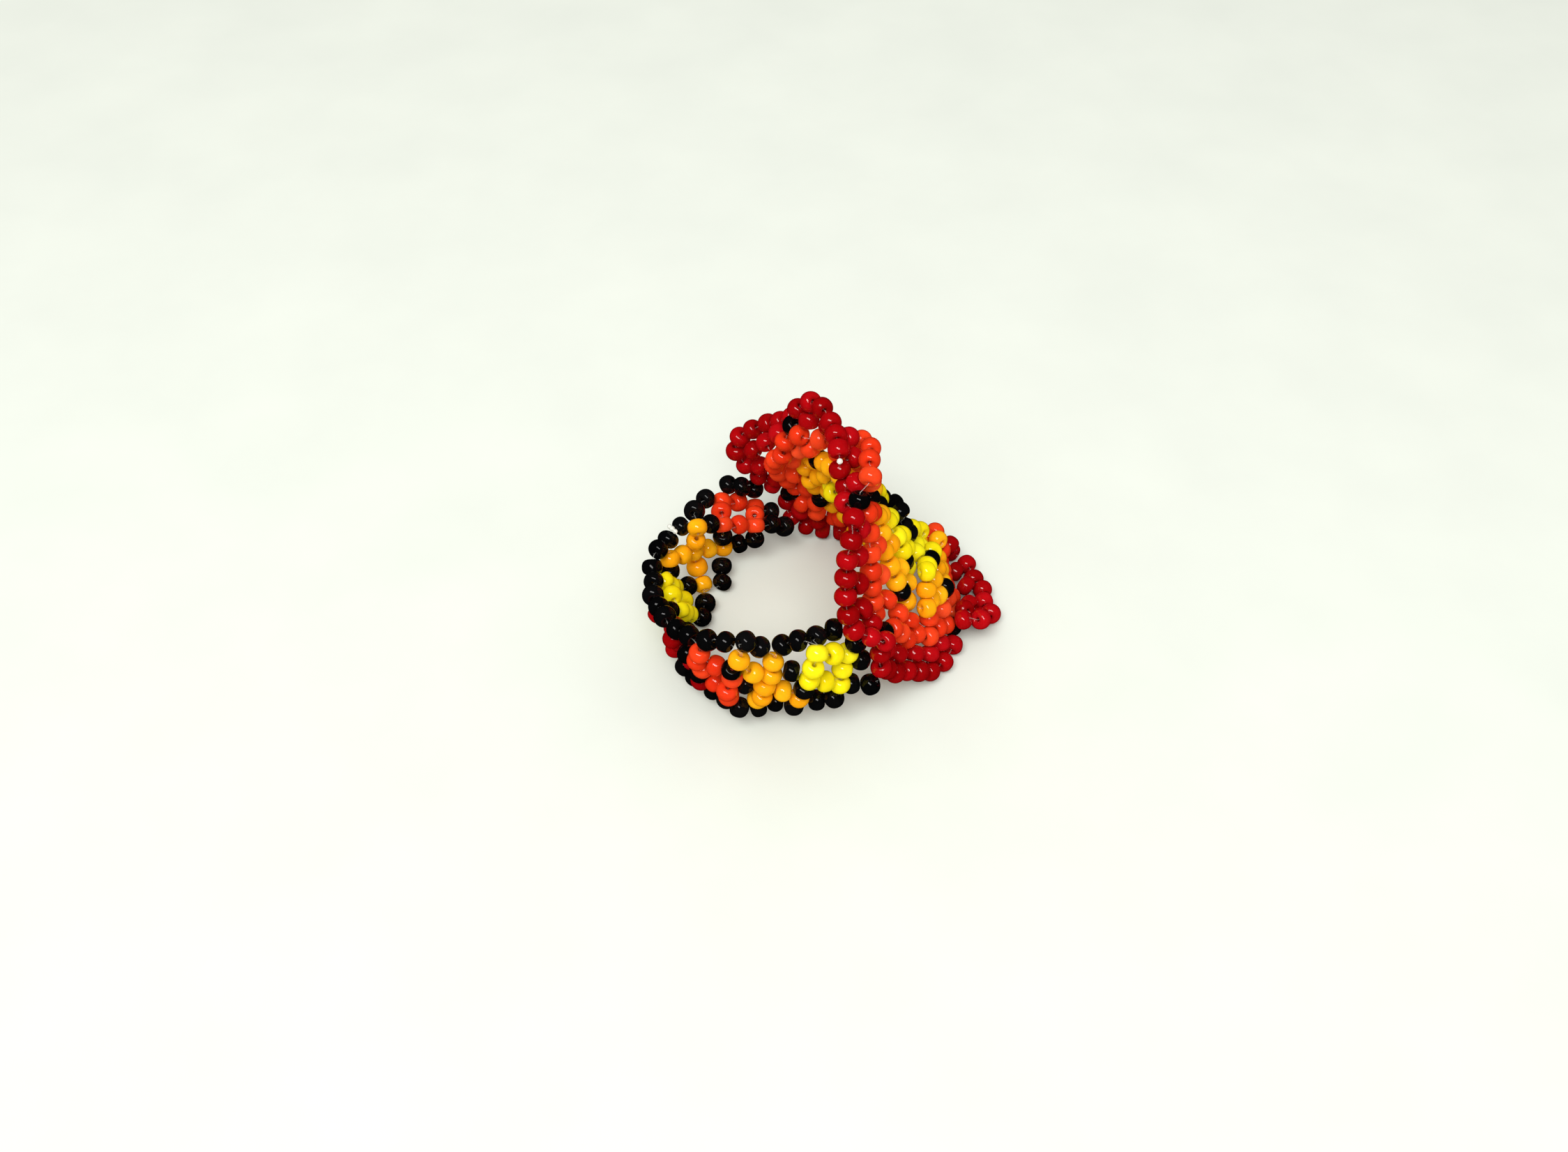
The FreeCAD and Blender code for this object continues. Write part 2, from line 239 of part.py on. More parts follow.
    ("P3", "O", 5): (10.942, 7.687, 4.951, -0.9228, 0.1703, -0.3457, 1.033, 0.978, "O"),
    ("P3", "C", 1): (13.865, 0.895, 1.771, 0.0227, 0.9986, 0.0469, 1.049, 1.002, "C"),
    ("P3", "C", 2): (13.920, 2.815, 2.236, -0.0870, 0.9954, 0.0404, 1.065, 1.018, "C"),
    ("P3", "C", 3): (13.539, 4.632, 1.923, -0.2198, 0.9565, 0.1918, 1.033, 0.970, "C"),
    ("P3", "C", 4): (13.143, 6.197, 2.914, -0.1563, 0.9801, 0.1227, 1.033, 0.986, "C"),
    ("P3", "C", 5): (12.997, 8.028, 2.348, -0.3127, 0.9362, -0.1606, 1.049, 0.994, "C"),
    ("P3", "C", 6): (11.948, 9.774, 2.300, -0.1023, 0.8705, 0.4814, 1.025, 0.978, "C"),
    ("P3", "C", 7): (12.642, 11.052, 4.021, 0.2102, 0.9562, -0.2035, 1.025, 0.978, "C"),
    ("P3", "D", 1): (14.768, -2.000, 3.971, 0.9132, -0.0491, 0.4046, 1.033, 0.978, "D"),
    ("P3", "D", 2): (16.762, -1.399, 3.345, 0.6149, 0.5682, -0.5469, 1.065, 1.010, "D"),
    ("P3", "D", 3): (16.943, 0.010, 2.036, 0.4027, 0.7206, -0.5644, 1.057, 1.010, "D"),
    ("P3", "D", 4): (18.259, 1.280, 1.247, 0.2153, 0.9419, -0.2577, 1.081, 1.002, "D"),
    ("P3", "D", 5): (17.649, 3.098, 1.191, -0.1602, 0.9870, -0.0164, 1.017, 1.002, "D"),
    ("P3", "D", 6): (17.675, 4.877, 1.187, -0.2428, 0.9701, -0.0014, 1.033, 0.970, "D"),
    ("P3", "D", 7): (16.800, 6.489, 1.186, -0.3506, 0.9365, 0.0004, 1.105, 1.010, "D"),
    ("P3", "D", 8): (16.218, 8.769, 1.189, -0.4545, 0.8907, 0.0076, 1.025, 1.026, "D"),
    ("P3", "D", 9): (14.654, 10.696, 1.222, -0.7711, 0.6222, 0.1356, 1.025, 1.002, "D"),
    ("P4", "R"): (7.530, 6.144, 11.852, -0.2064, 0.9717, -0.1146, 1.041, 0.994, "K"),
    ("P4", "Y", 1): (7.448, 8.190, 8.444, -0.6350, 0.7136, 0.2958, 1.033, 0.970, "Y"),
    ("P4", "Y", 2): (5.967, 9.382, 8.841, -0.8834, 0.3004, 0.3597, 1.033, 1.010, "Y"),
    ("P4", "Y", 3): (4.090, 9.332, 9.811, -0.8326, -0.1158, 0.5417, 1.049, 0.986, "Y"),
    ("P4", "O", 1): (7.276, 8.695, 4.574, -0.9841, 0.1763, 0.0225, 1.033, 0.970, "O"),
    ("P4", "O", 2): (5.339, 8.854, 5.117, -0.9139, 0.2717, 0.3015, 1.033, 1.018, "O"),
    ("P4", "O", 3): (3.637, 9.777, 5.774, -0.7045, 0.4545, 0.5451, 1.025, 0.970, "O"),
    ("P4", "O", 4): (2.584, 10.631, 7.249, -0.6576, 0.4144, 0.6292, 1.041, 0.978, "O"),
    ("P4", "O", 5): (1.117, 11.365, 8.185, -0.7788, 0.0782, 0.6224, 1.041, 0.978, "O"),
    ("P4", "C", 1): (10.582, 11.309, 3.362, -0.8698, 0.0527, 0.4907, 1.025, 0.978, "C"),
    ("P4", "C", 2): (8.355, 12.092, 4.143, -0.9182, 0.2753, 0.2849, 1.049, 1.010, "C"),
    ("P4", "C", 3): (6.104, 12.652, 4.752, -0.9803, 0.1626, 0.1120, 1.033, 0.970, "C"),
    ("P4", "C", 4): (3.730, 12.859, 4.672, -0.9939, 0.0922, -0.0599, 1.033, 0.994, "C"),
    ("P4", "C", 5): (1.317, 13.096, 4.463, -0.9836, 0.0090, 0.1800, 1.041, 0.978, "C"),
    ("P4", "C", 6): (-0.581, 12.899, 5.461, -0.8462, -0.0252, 0.5323, 1.065, 1.042, "C"),
    ("P4", "C", 7): (-2.203, 12.991, 6.678, -0.8190, 0.4474, 0.3592, 1.057, 0.994, "C"),
    ("P4", "D", 1): (11.310, 13.626, 1.228, -0.7874, 0.5962, -0.1569, 1.025, 1.034, "D"),
    ("P4", "D", 2): (9.040, 14.394, 1.189, -0.9811, 0.1933, -0.0089, 1.033, 0.978, "D"),
    ("P4", "D", 3): (6.727, 14.529, 1.187, -0.9991, -0.0417, 0.0011, 1.041, 0.978, "D"),
    ("P4", "D", 4): (4.431, 14.202, 1.194, -0.9936, -0.1127, 0.0005, 1.137, 1.050, "D"),
    ("P4", "D", 5): (2.155, 14.010, 1.189, -0.9997, 0.0219, 0.0084, 1.041, 0.986, "D"),
    ("P4", "D", 6): (0.158, 14.296, 1.230, -0.9832, 0.0643, 0.1706, 1.041, 0.978, "D"),
    ("P4", "D", 7): (-1.709, 14.263, 1.859, -0.8992, 0.0578, 0.4337, 1.065, 1.002, "D"),
    ("P4", "D", 8): (-3.395, 14.524, 2.944, -0.5922, 0.2757, 0.7571, 1.129, 1.010, "D"),
    ("P4", "D", 9): (-3.961, 15.311, 4.738, -0.0624, 0.0114, 0.9980, 1.025, 0.970, "D"),
    ("P5", "R"): (6.051, 7.561, 12.719, -0.5898, -0.5095, 0.6266, 1.041, 0.994, "K"),
    ("P5", "Y", 1): (1.672, 8.503, 12.827, -0.4152, -0.2981, 0.8595, 1.033, 0.978, "Y"),
    ("P5", "Y", 2): (0.864, 7.754, 14.414, -0.2243, -0.7356, 0.6392, 1.057, 1.002, "Y"),
    ("P5", "Y", 3): (0.852, 5.811, 15.166, 0.3628, -0.5532, 0.7499, 1.041, 0.986, "Y"),
    ("P5", "O", 1): (-0.844, 11.082, 11.239, -0.3379, -0.1626, 0.9270, 1.041, 0.978, "O"),
    ("P5", "O", 2): (-1.410, 10.338, 12.761, -0.3076, -0.1687, 0.9365, 1.033, 0.970, "O"),
    ("P5", "O", 3): (-1.945, 10.478, 14.590, 0.0201, -0.1092, 0.9938, 1.041, 0.978, "O"),
    ("P5", "O", 4): (-1.336, 9.934, 16.439, 0.2356, -0.5657, 0.7902, 1.025, 0.978, "O"),
    ("P5", "O", 5): (-1.071, 8.381, 17.521, 0.1589, -0.7674, 0.6211, 1.049, 0.986, "O"),
    ("P5", "C", 1): (-3.004, 13.714, 8.641, -0.0547, -0.4266, 0.9028, 1.057, 0.994, "C"),
    ("P5", "C", 2): (-3.859, 12.833, 10.474, -0.4191, -0.3731, 0.8277, 1.049, 1.018, "C"),
    ("P5", "C", 3): (-4.865, 12.058, 12.315, -0.3138, -0.3924, 0.8646, 1.049, 0.986, "C"),
    ("P5", "C", 4): (-5.292, 11.041, 14.423, -0.0733, -0.5051, 0.8599, 1.137, 1.018, "C"),
    ("P5", "C", 5): (-5.212, 9.662, 16.393, 0.1897, -0.5659, 0.8023, 1.033, 0.978, "C"),
    ("P5", "C", 6): (-4.432, 8.474, 18.061, 0.2231, -0.3843, 0.8959, 1.057, 1.010, "C"),
    ("P5", "C", 7): (-4.207, 7.930, 20.432, 0.2420, -0.0341, 0.9697, 1.049, 0.986, "C"),
    ("P5", "D", 1): (-5.533, 15.370, 7.287, -0.8439, 0.0753, 0.5312, 1.033, 0.986, "D"),
    ("P5", "D", 2): (-7.123, 14.879, 8.995, -0.6322, -0.1381, 0.7624, 1.073, 1.010, "D"),
    ("P5", "D", 3): (-8.544, 14.712, 10.918, -0.5140, -0.0440, 0.8566, 1.041, 0.978, "D"),
    ("P5", "D", 4): (-9.532, 14.673, 13.010, -0.1200, -0.0488, 0.9916, 1.105, 1.050, "D"),
    ("P5", "D", 5): (-9.058, 14.504, 15.160, 0.4419, -0.1670, 0.8814, 1.121, 1.002, "D"),
    ("P5", "D", 6): (-7.650, 13.962, 16.762, 0.6858, -0.2705, 0.6757, 1.041, 0.986, "D"),
    ("P5", "D", 7): (-6.008, 13.301, 18.165, 0.6559, -0.4266, 0.6227, 1.041, 0.986, "D"),
    ("P5", "D", 8): (-4.659, 12.017, 19.602, 0.5073, -0.5508, 0.6627, 1.065, 1.002, "D"),
    ("P5", "D", 9): (-3.498, 10.575, 21.444, 0.2697, -0.7825, 0.5612, 1.025, 1.034, "D"),
    ("P6", "R"): (5.481, 4.457, 14.748, 0.3384, -0.8403, 0.4236, 1.033, 0.986, "K"),
    ("P6", "Y", 1): (3.140, 4.932, 17.889, 0.5487, -0.6338, 0.5452, 1.041, 0.978, "Y"),
    ("P6", "Y", 2): (4.068, 3.627, 18.833, 0.5073, -0.8112, 0.2908, 1.041, 0.994, "Y"),
    ("P6", "Y", 3): (4.993, 1.969, 18.951, 0.2778, -0.9602, 0.0298, 1.057, 0.994, "Y"),
    ("P6", "O", 1): (-0.196, 5.458, 19.873, 0.3061, -0.8208, 0.4823, 1.033, 0.970, "O"),
    ("P6", "O", 2): (0.450, 3.834, 20.679, 0.3995, -0.8560, 0.3283, 1.033, 0.978, "O"),
    ("P6", "O", 3): (1.415, 2.004, 21.198, 0.5352, -0.7520, 0.3848, 1.033, 0.978, "O"),
    ("P6", "O", 4): (2.619, 0.787, 22.238, 0.6463, -0.6664, 0.3718, 1.033, 1.042, "O"),
    ("P6", "O", 5): (3.949, -0.608, 22.655, 0.3791, -0.9212, 0.0873, 1.041, 1.002, "O"),
    ("P6", "C", 1): (-2.765, 6.385, 22.699, 0.6071, -0.7521, 0.2563, 1.049, 1.018, "C"),
    ("P6", "C", 2): (-0.672, 4.963, 23.394, 0.8521, -0.4238, 0.3072, 1.065, 1.002, "C"),
    ("P6", "C", 3): (1.885, 4.073, 24.375, 0.7858, -0.4614, 0.4119, 1.065, 1.002, "C"),
    ("P6", "C", 4): (3.389, 2.578, 25.523, 0.4473, -0.7775, 0.4420, 1.041, 0.986, "C"),
    ("P6", "C", 5): (4.092, 0.236, 26.556, 0.0835, -0.9278, 0.3636, 1.089, 1.018, "C"),
    ("P6", "C", 6): (3.846, -2.506, 27.515, -0.0469, -0.9776, 0.2052, 1.033, 0.970, "C"),
    ("P6", "C", 7): (3.848, -4.859, 27.626, -0.2402, -0.9010, -0.3614, 1.073, 1.010, "C"),
    ("P6", "D", 1): (-2.885, 8.384, 24.533, 0.3617, -0.2689, 0.8927, 1.049, 1.018, "D"),
    ("P6", "D", 2): (-1.635, 7.023, 26.575, 0.4554, -0.6638, 0.5933, 1.041, 0.978, "D"),
    ("P6", "D", 3): (-0.541, 4.967, 27.586, 0.3925, -0.8939, 0.2166, 1.033, 0.978, "D"),
    ("P6", "D", 4): (0.259, 2.711, 27.620, 0.2710, -0.9597, 0.0741, 1.057, 1.010, "D"),
    ("P6", "D", 5): (0.714, 0.523, 27.929, 0.1518, -0.9830, 0.1032, 1.049, 0.994, "D"),
    ("P6", "D", 6): (0.912, -1.518, 28.063, 0.0949, -0.8903, -0.4453, 1.033, 1.026, "D"),
    ("P6", "D", 7): (1.044, -2.572, 26.381, 0.1946, -0.4100, -0.8911, 1.041, 0.978, "D"),
    ("P6", "D", 8): (1.669, -3.113, 24.596, 0.1598, -0.8186, -0.5516, 1.033, 1.026, "D"),
    ("P6", "D", 9): (1.571, -5.275, 24.560, 0.3056, -0.8797, 0.3644, 1.057, 1.018, "D"),
    ("P1", "sY", 0): (6.330, 0.167, 17.061, -0.2161, -0.8428, 0.4929, 1.033, 0.986, "Y"),
    ("P1", "sY", 1): (7.626, -0.423, 15.208, -0.0213, -0.9911, -0.1312, 1.033, 0.986, "Y"),
    ("P1", "sO", 0): (5.208, -2.244, 19.904, -0.2293, -0.6926, 0.6839, 1.049, 0.986, "O"),
    ("P1", "sO", 1): (6.217, -3.756, 17.321, -0.3811, -0.8518, 0.3594, 1.041, 0.986, "O"),
    ("P1", "sO", 2): (7.278, -4.249, 14.316, -0.2145, -0.9758, 0.0420, 1.033, 0.978, "O"),
    ("P1", "sC", 0): (4.106, -4.790, 22.764, -0.2504, -0.7058, 0.6627, 1.041, 0.994, "C"),
    ("P1", "sC", 1): (4.639, -6.400, 19.841, -0.3351, -0.8790, 0.3392, 1.033, 0.978, "C"),
    ("P1", "sC", 2): (5.126, -7.328, 16.727, -0.4810, -0.8765, 0.0195, 1.025, 0.970, "C"),
    ("P1", "sC", 3): (5.939, -7.540, 13.325, -0.5962, -0.7471, -0.2940, 1.033, 0.978, "C"),
    ("P1", "sD", 0): (2.865, -8.130, 23.892, -0.4357, -0.8275, 0.3541, 1.033, 0.986, "D"),
    ("P1", "sD", 1): (2.731, -9.355, 21.478, -0.5781, -0.8000, 0.1606, 1.033, 0.978, "D"),
    ("P1", "sD", 2): (2.851, -10.195, 18.542, -0.6286, -0.7759, -0.0538, 1.073, 1.002, "D"),
    ("P1", "sD", 3): (3.291, -10.905, 15.694, -0.4626, -0.8708, -0.1665, 1.105, 1.042, "D"),
    ("P1", "sD", 4): (4.336, -10.969, 13.552, 0.0379, -0.9988, -0.0322, 1.017, 0.970, "D"),
    ("P2", "sY", 0): (8.267, 0.105, 12.746, 0.0302, -0.8140, -0.5801, 0.993, 1.010, "Y"),
    ("P2", "sY", 1): (9.423, 0.973, 11.164, 0.5951, -0.7618, -0.2560, 0.993, 1.002, "Y"),
    ("P2", "sO", 0): (8.268, -3.484, 11.403, -0.0496, -0.9545, -0.2941, 1.033, 0.970, "O"),
    ("P2", "sO", 1): (10.352, -3.476, 10.312, 0.0187, -0.5940, -0.8043, 1.025, 0.962, "O"),
    ("P2", "sO", 2): (11.319, -0.766, 8.945, 0.3108, -0.3673, -0.8766, 1.033, 0.978, "O"),
    ("P2", "sC", 0): (7.272, -7.171, 10.854, -0.3220, -0.9340, -0.1550, 1.033, 0.986, "C"),
    ("P2", "sC", 1): (8.580, -5.761, 8.152, -0.1534, -0.8117, -0.5635, 1.033, 0.970, "C"),
    ("P2", "sC", 2): (10.812, -4.097, 6.607, 0.0153, -0.5242, -0.8515, 1.025, 0.962, "C"),
    ("P2", "sC", 3): (12.419, -1.613, 5.244, 0.1989, -0.3134, -0.9286, 1.033, 0.978, "C"),
    ("P2", "sD", 0): (5.934, -10.448, 9.200, -0.4008, -0.8724, -0.2799, 1.025, 0.962, "D"),
    ("P2", "sD", 1): (7.262, -9.132, 6.880, -0.4163, -0.8113, -0.4104, 1.049, 0.986, "D"),
    ("P2", "sD", 2): (9.187, -7.442, 4.935, -0.2464, -0.8027, -0.5431, 1.049, 0.986, "D"),
    ("P2", "sD", 3): (10.963, -6.116, 3.238, -0.1280, -0.6397, -0.7579, 1.025, 0.978, "D"),
    ("P2", "sD", 4): (12.228, -4.168, 2.643, 0.1465, -0.6083, -0.7801, 1.033, 0.986, "D"),
    ("P3", "sY", 0): (9.636, 3.065, 9.967, 0.9485, -0.0354, -0.3147, 1.041, 1.002, "Y"),
    ("P3", "sY", 1): (9.329, 5.538, 10.116, 0.5952, 0.6152, -0.5171, 1.033, 0.986, "Y"),
    ("P3", "sO", 0): (11.972, 2.217, 7.345, 0.3350, -0.1427, -0.9313, 1.033, 0.970, "O"),
    ("P3", "sO", 1): (11.292, 5.266, 6.819, 0.5534, 0.3123, -0.7722, 1.009, 0.978, "O"),
    ("P3", "sO", 2): (10.330, 7.177, 6.706, 0.3264, 0.2857, -0.9010, 1.009, 0.978, "O"),
    ("P3", "sC", 0): (13.280, 1.218, 3.788, 0.2825, -0.1530, -0.9470, 1.049, 1.042, "C"),
    ("P3", "sC", 1): (13.031, 4.178, 3.801, 0.2812, 0.0972, -0.9547, 1.041, 0.986, "C"),
    ("P3", "sC", 2): (13.058, 7.845, 4.379, 0.1263, 0.2436, -0.9616, 1.041, 0.994, "C"),
    ("P3", "sC", 3): (11.621, 9.558, 4.549, 0.5358, 0.8103, -0.2373, 1.041, 0.994, "C"),
    ("P3", "sD", 0): (15.117, 0.036, 3.298, 0.5106, -0.7529, 0.4152, 1.017, 0.994, "D"),
    ("P3", "sD", 1): (15.856, 1.992, 1.953, 0.7137, -0.6990, -0.0461, 1.017, 1.018, "D"),
    ("P3", "sD", 2): (15.730, 4.605, 2.140, 0.7859, -0.5405, -0.3005, 1.033, 0.970, "D"),
    ("P3", "sD", 3): (14.816, 7.104, 1.735, 0.8385, -0.5003, -0.2159, 1.025, 0.986, "D"),
    ("P3", "sD", 4): (14.243, 9.812, 3.204, 0.7699, -0.2827, -0.5721, 1.025, 1.010, "D"),
    ("P4", "sY", 0): (7.443, 6.643, 9.743, -0.1049, 0.6581, -0.7456, 1.025, 0.986, "Y"),
    ("P4", "sY", 1): (5.440, 8.065, 10.605, -0.7695, 0.4951, -0.4034, 1.033, 0.986, "Y"),
    ("P4", "sO", 0): (7.402, 8.185, 6.443, -0.1287, 0.2683, -0.9547, 1.033, 0.970, "O"),
    ("P4", "sO", 1): (4.784, 9.564, 7.282, -0.6018, 0.1021, -0.7921, 1.025, 0.970, "O"),
    ("P4", "sO", 2): (2.213, 10.303, 9.448, -0.6286, 0.5646, -0.5349, 1.041, 0.986, "O"),
    ("P4", "sC", 0): (9.193, 10.028, 3.911, 0.6810, 0.6595, -0.3184, 1.025, 0.978, "C"),
    ("P4", "sC", 1): (5.477, 10.838, 5.032, 0.3136, 0.9393, -0.1395, 1.033, 0.970, "C"),
    ("P4", "sC", 2): (2.071, 11.691, 5.621, -0.3905, 0.6834, -0.6168, 1.033, 0.978, "C"),
    ("P4", "sC", 3): (-0.693, 12.105, 7.619, -0.7635, 0.4445, -0.4685, 1.041, 0.978, "C"),
    ("P4", "sD", 0): (9.579, 12.924, 2.461, -0.0031, 0.7328, -0.6805, 1.025, 0.978, "D"),
    ("P4", "sD", 1): (6.467, 13.392, 2.855, -0.2199, 0.4972, -0.8393, 1.041, 0.978, "D"),
    ("P4", "sD", 2): (2.922, 13.421, 2.920, -0.3945, 0.2884, -0.8725, 1.041, 0.986, "D"),
    ("P4", "sD", 3): (-0.421, 13.645, 3.272, -0.4654, 0.3259, -0.8229, 1.041, 0.978, "D"),
    ("P4", "sD", 4): (-2.459, 13.740, 4.717, -0.4973, 0.4977, -0.7106, 1.025, 0.970, "D"),
    ("P5", "sY", 0): (4.057, 8.181, 12.417, -0.9802, 0.1279, 0.1513, 1.025, 0.994, "Y"),
    ("P5", "sY", 1): (3.158, 6.326, 14.236, -0.9103, -0.1973, 0.3638, 1.049, 0.994, "Y"),
    ("P5", "sO", 0): (0.554, 9.836, 11.769, -0.7228, 0.6378, -0.2662, 1.033, 0.978, "O"),
    ("P5", "sO", 1): (-0.586, 9.110, 14.443, -0.7170, 0.6956, 0.0450, 1.041, 0.978, "O"),
    ("P5", "sO", 2): (0.107, 7.091, 16.580, -0.5984, 0.6492, 0.4695, 1.041, 0.986, "O"),
    ("P5", "sC", 0): (-1.775, 12.422, 9.668, -0.5589, 0.6451, -0.5210, 1.033, 0.978, "C"),
    ("P5", "sC", 1): (-3.181, 11.211, 12.797, -0.8667, 0.4397, -0.2357, 1.033, 0.970, "C"),
    ("P5", "sC", 2): (-3.297, 9.873, 16.256, -0.9880, -0.1081, 0.1103, 1.025, 0.978, "C"),
    ("P5", "sC", 3): (-2.605, 8.064, 19.257, -0.7799, -0.0244, 0.6254, 1.041, 0.986, "C"),
    ("P5", "sD", 0): (-5.132, 14.288, 9.213, -0.8725, 0.4327, -0.2267, 1.033, 0.986, "D"),
    ("P5", "sD", 1): (-6.943, 13.630, 11.717, -0.8779, 0.4784, -0.0215, 1.041, 0.978, "D"),
    ("P5", "sD", 2): (-7.617, 12.799, 14.816, -0.7285, 0.6700, 0.1426, 1.041, 0.986, "D"),
    ("P5", "sD", 3): (-6.214, 11.375, 17.257, -0.3408, 0.9259, 0.1629, 1.041, 0.986, "D"),
    ("P5", "sD", 4): (-4.873, 9.944, 19.752, 0.0220, 0.9856, 0.1674, 1.025, 1.002, "D"),
    ("P6", "sY", 0): (4.163, 5.132, 16.203, -0.5185, -0.0854, 0.8508, 1.033, 0.986, "Y"),
    ("P6", "sY", 1): (5.386, 2.812, 17.189, -0.2223, -0.4040, 0.8873, 1.041, 0.994, "Y"),
    ("P6", "sO", 0): (1.398, 5.286, 18.803, -0.7825, 0.0449, 0.6210, 1.033, 0.970, "O"),
    ("P6", "sO", 1): (2.749, 2.814, 20.034, -0.6789, -0.4155, 0.6053, 1.033, 0.978, "O"),
    ("P6", "sO", 2): (4.470, 0.356, 20.997, -0.2487, -0.4515, 0.8569, 1.033, 0.970, "O"),
    ("P6", "sC", 0): (-1.575, 6.203, 21.121, -0.6137, 0.1377, 0.7774, 1.033, 0.986, "C"),
    ("P6", "sC", 1): (1.207, 3.829, 22.526, 0.3122, 0.1819, 0.9325, 1.033, 0.978, "C"),
    ("P6", "sC", 2): (3.121, 0.649, 24.354, 0.3560, -0.1715, 0.9186, 1.041, 0.986, "C"),
    ("P6", "sC", 3): (4.019, -2.835, 25.068, -0.0190, -0.6003, 0.7996, 1.065, 1.026, "C"),
    ("P6", "sD", 0): (-1.788, 6.368, 24.701, 0.0136, 0.4831, 0.8755, 1.041, 0.978, "D"),
    ("P6", "sD", 1): (0.152, 4.274, 25.796, -0.3337, -0.0271, 0.9423, 1.033, 0.978, "D"),
    ("P6", "sD", 2): (2.006, 1.505, 26.770, -0.6455, -0.4961, 0.5807, 1.049, 0.994, "D"),
    ("P6", "sD", 3): (2.452, -1.101, 26.543, -0.8938, -0.4484, -0.0047, 1.033, 0.970, "D"),
    ("P6", "sD", 4): (2.602, -4.202, 26.112, -0.5916, 0.0594, -0.8040, 1.025, 0.970, "D"),
}


def vec(b):
    return FreeCAD.Vector(b[0], b[1], b[2]), FreeCAD.Vector(b[3], b[4], b[5])


def bead(b):
    """One rocaille: a rounded barrel turned about its hole."""
    centre, axis = vec(b)
    r, half, e = BEAD_R * b[6], BEAD_LEN * b[7] / 2, BEAD_EDGE_R * min(b[6], b[7])
    bore = BORE_R * b[6]
    rc, zc = r - BARREL - e, half - e
    q = math.sqrt(0.5)
    V = FreeCAD.Vector
    top = V(max(rc, bore + BORE_LIP), 0, half)
    x_top = top.x
    a0 = math.asin(max(0.0, min(1.0, (x_top - rc) / e)))
    am = (a0 + math.pi / 2) / 2
    zt = zc + e * math.cos(a0)
    top = V(x_top, 0, zt)
    edges = [
        Part.LineSegment(V(bore, 0, -zt + BORE_LIP), V(bore, 0, zt - BORE_LIP)).toShape(),
        Part.Arc(V(bore, 0, zt - BORE_LIP), V(bore + BORE_LIP * 0.2, 0, zt - BORE_LIP * 0.4), V(x_top, 0, zt)).toShape()
        if x_top - bore < BORE_LIP * 1.5 else
        Part.LineSegment(V(bore, 0, zt - BORE_LIP), V(x_top, 0, zt)).toShape(),
        Part.Arc(top, V(rc + e * math.sin(am), 0, zc + e * math.cos(am)), V(rc + e, 0, zc)).toShape(),
        Part.Arc(V(rc + e, 0, zc), V(r, 0, 0), V(rc + e, 0, -zc)).toShape(),
        Part.Arc(V(rc + e, 0, -zc), V(rc + e * math.sin(am), 0, -zc - e * math.cos(am)), V(x_top, 0, -zt)).toShape(),
        Part.Arc(V(x_top, 0, -zt), V(bore + BORE_LIP * 0.2, 0, -zt + BORE_LIP * 0.4), V(bore, 0, -zt + BORE_LIP)).toShape()
        if x_top - bore < BORE_LIP * 1.5 else
        Part.LineSegment(V(x_top, 0, -zt), V(bore, 0, -zt + BORE_LIP)).toShape(),
    ]
    face = Part.Face(Part.Wire(edges))
    solid = face.revolve(V(0, 0, 0), V(0, 0, 1), 360)
    if solid.ShapeType != "Solid":
        solid = Part.Solid(solid) if solid.ShapeType == "Shell" else solid.Solids[0]
    if solid.Volume < 0:
        solid.reverse()
    solid.Placement = FreeCAD.Placement(centre, FreeCAD.Rotation(V(0, 0, 1), axis))
    return solid


def beads_of(keys):
    return [bead(BEADS[k]) for k in keys]


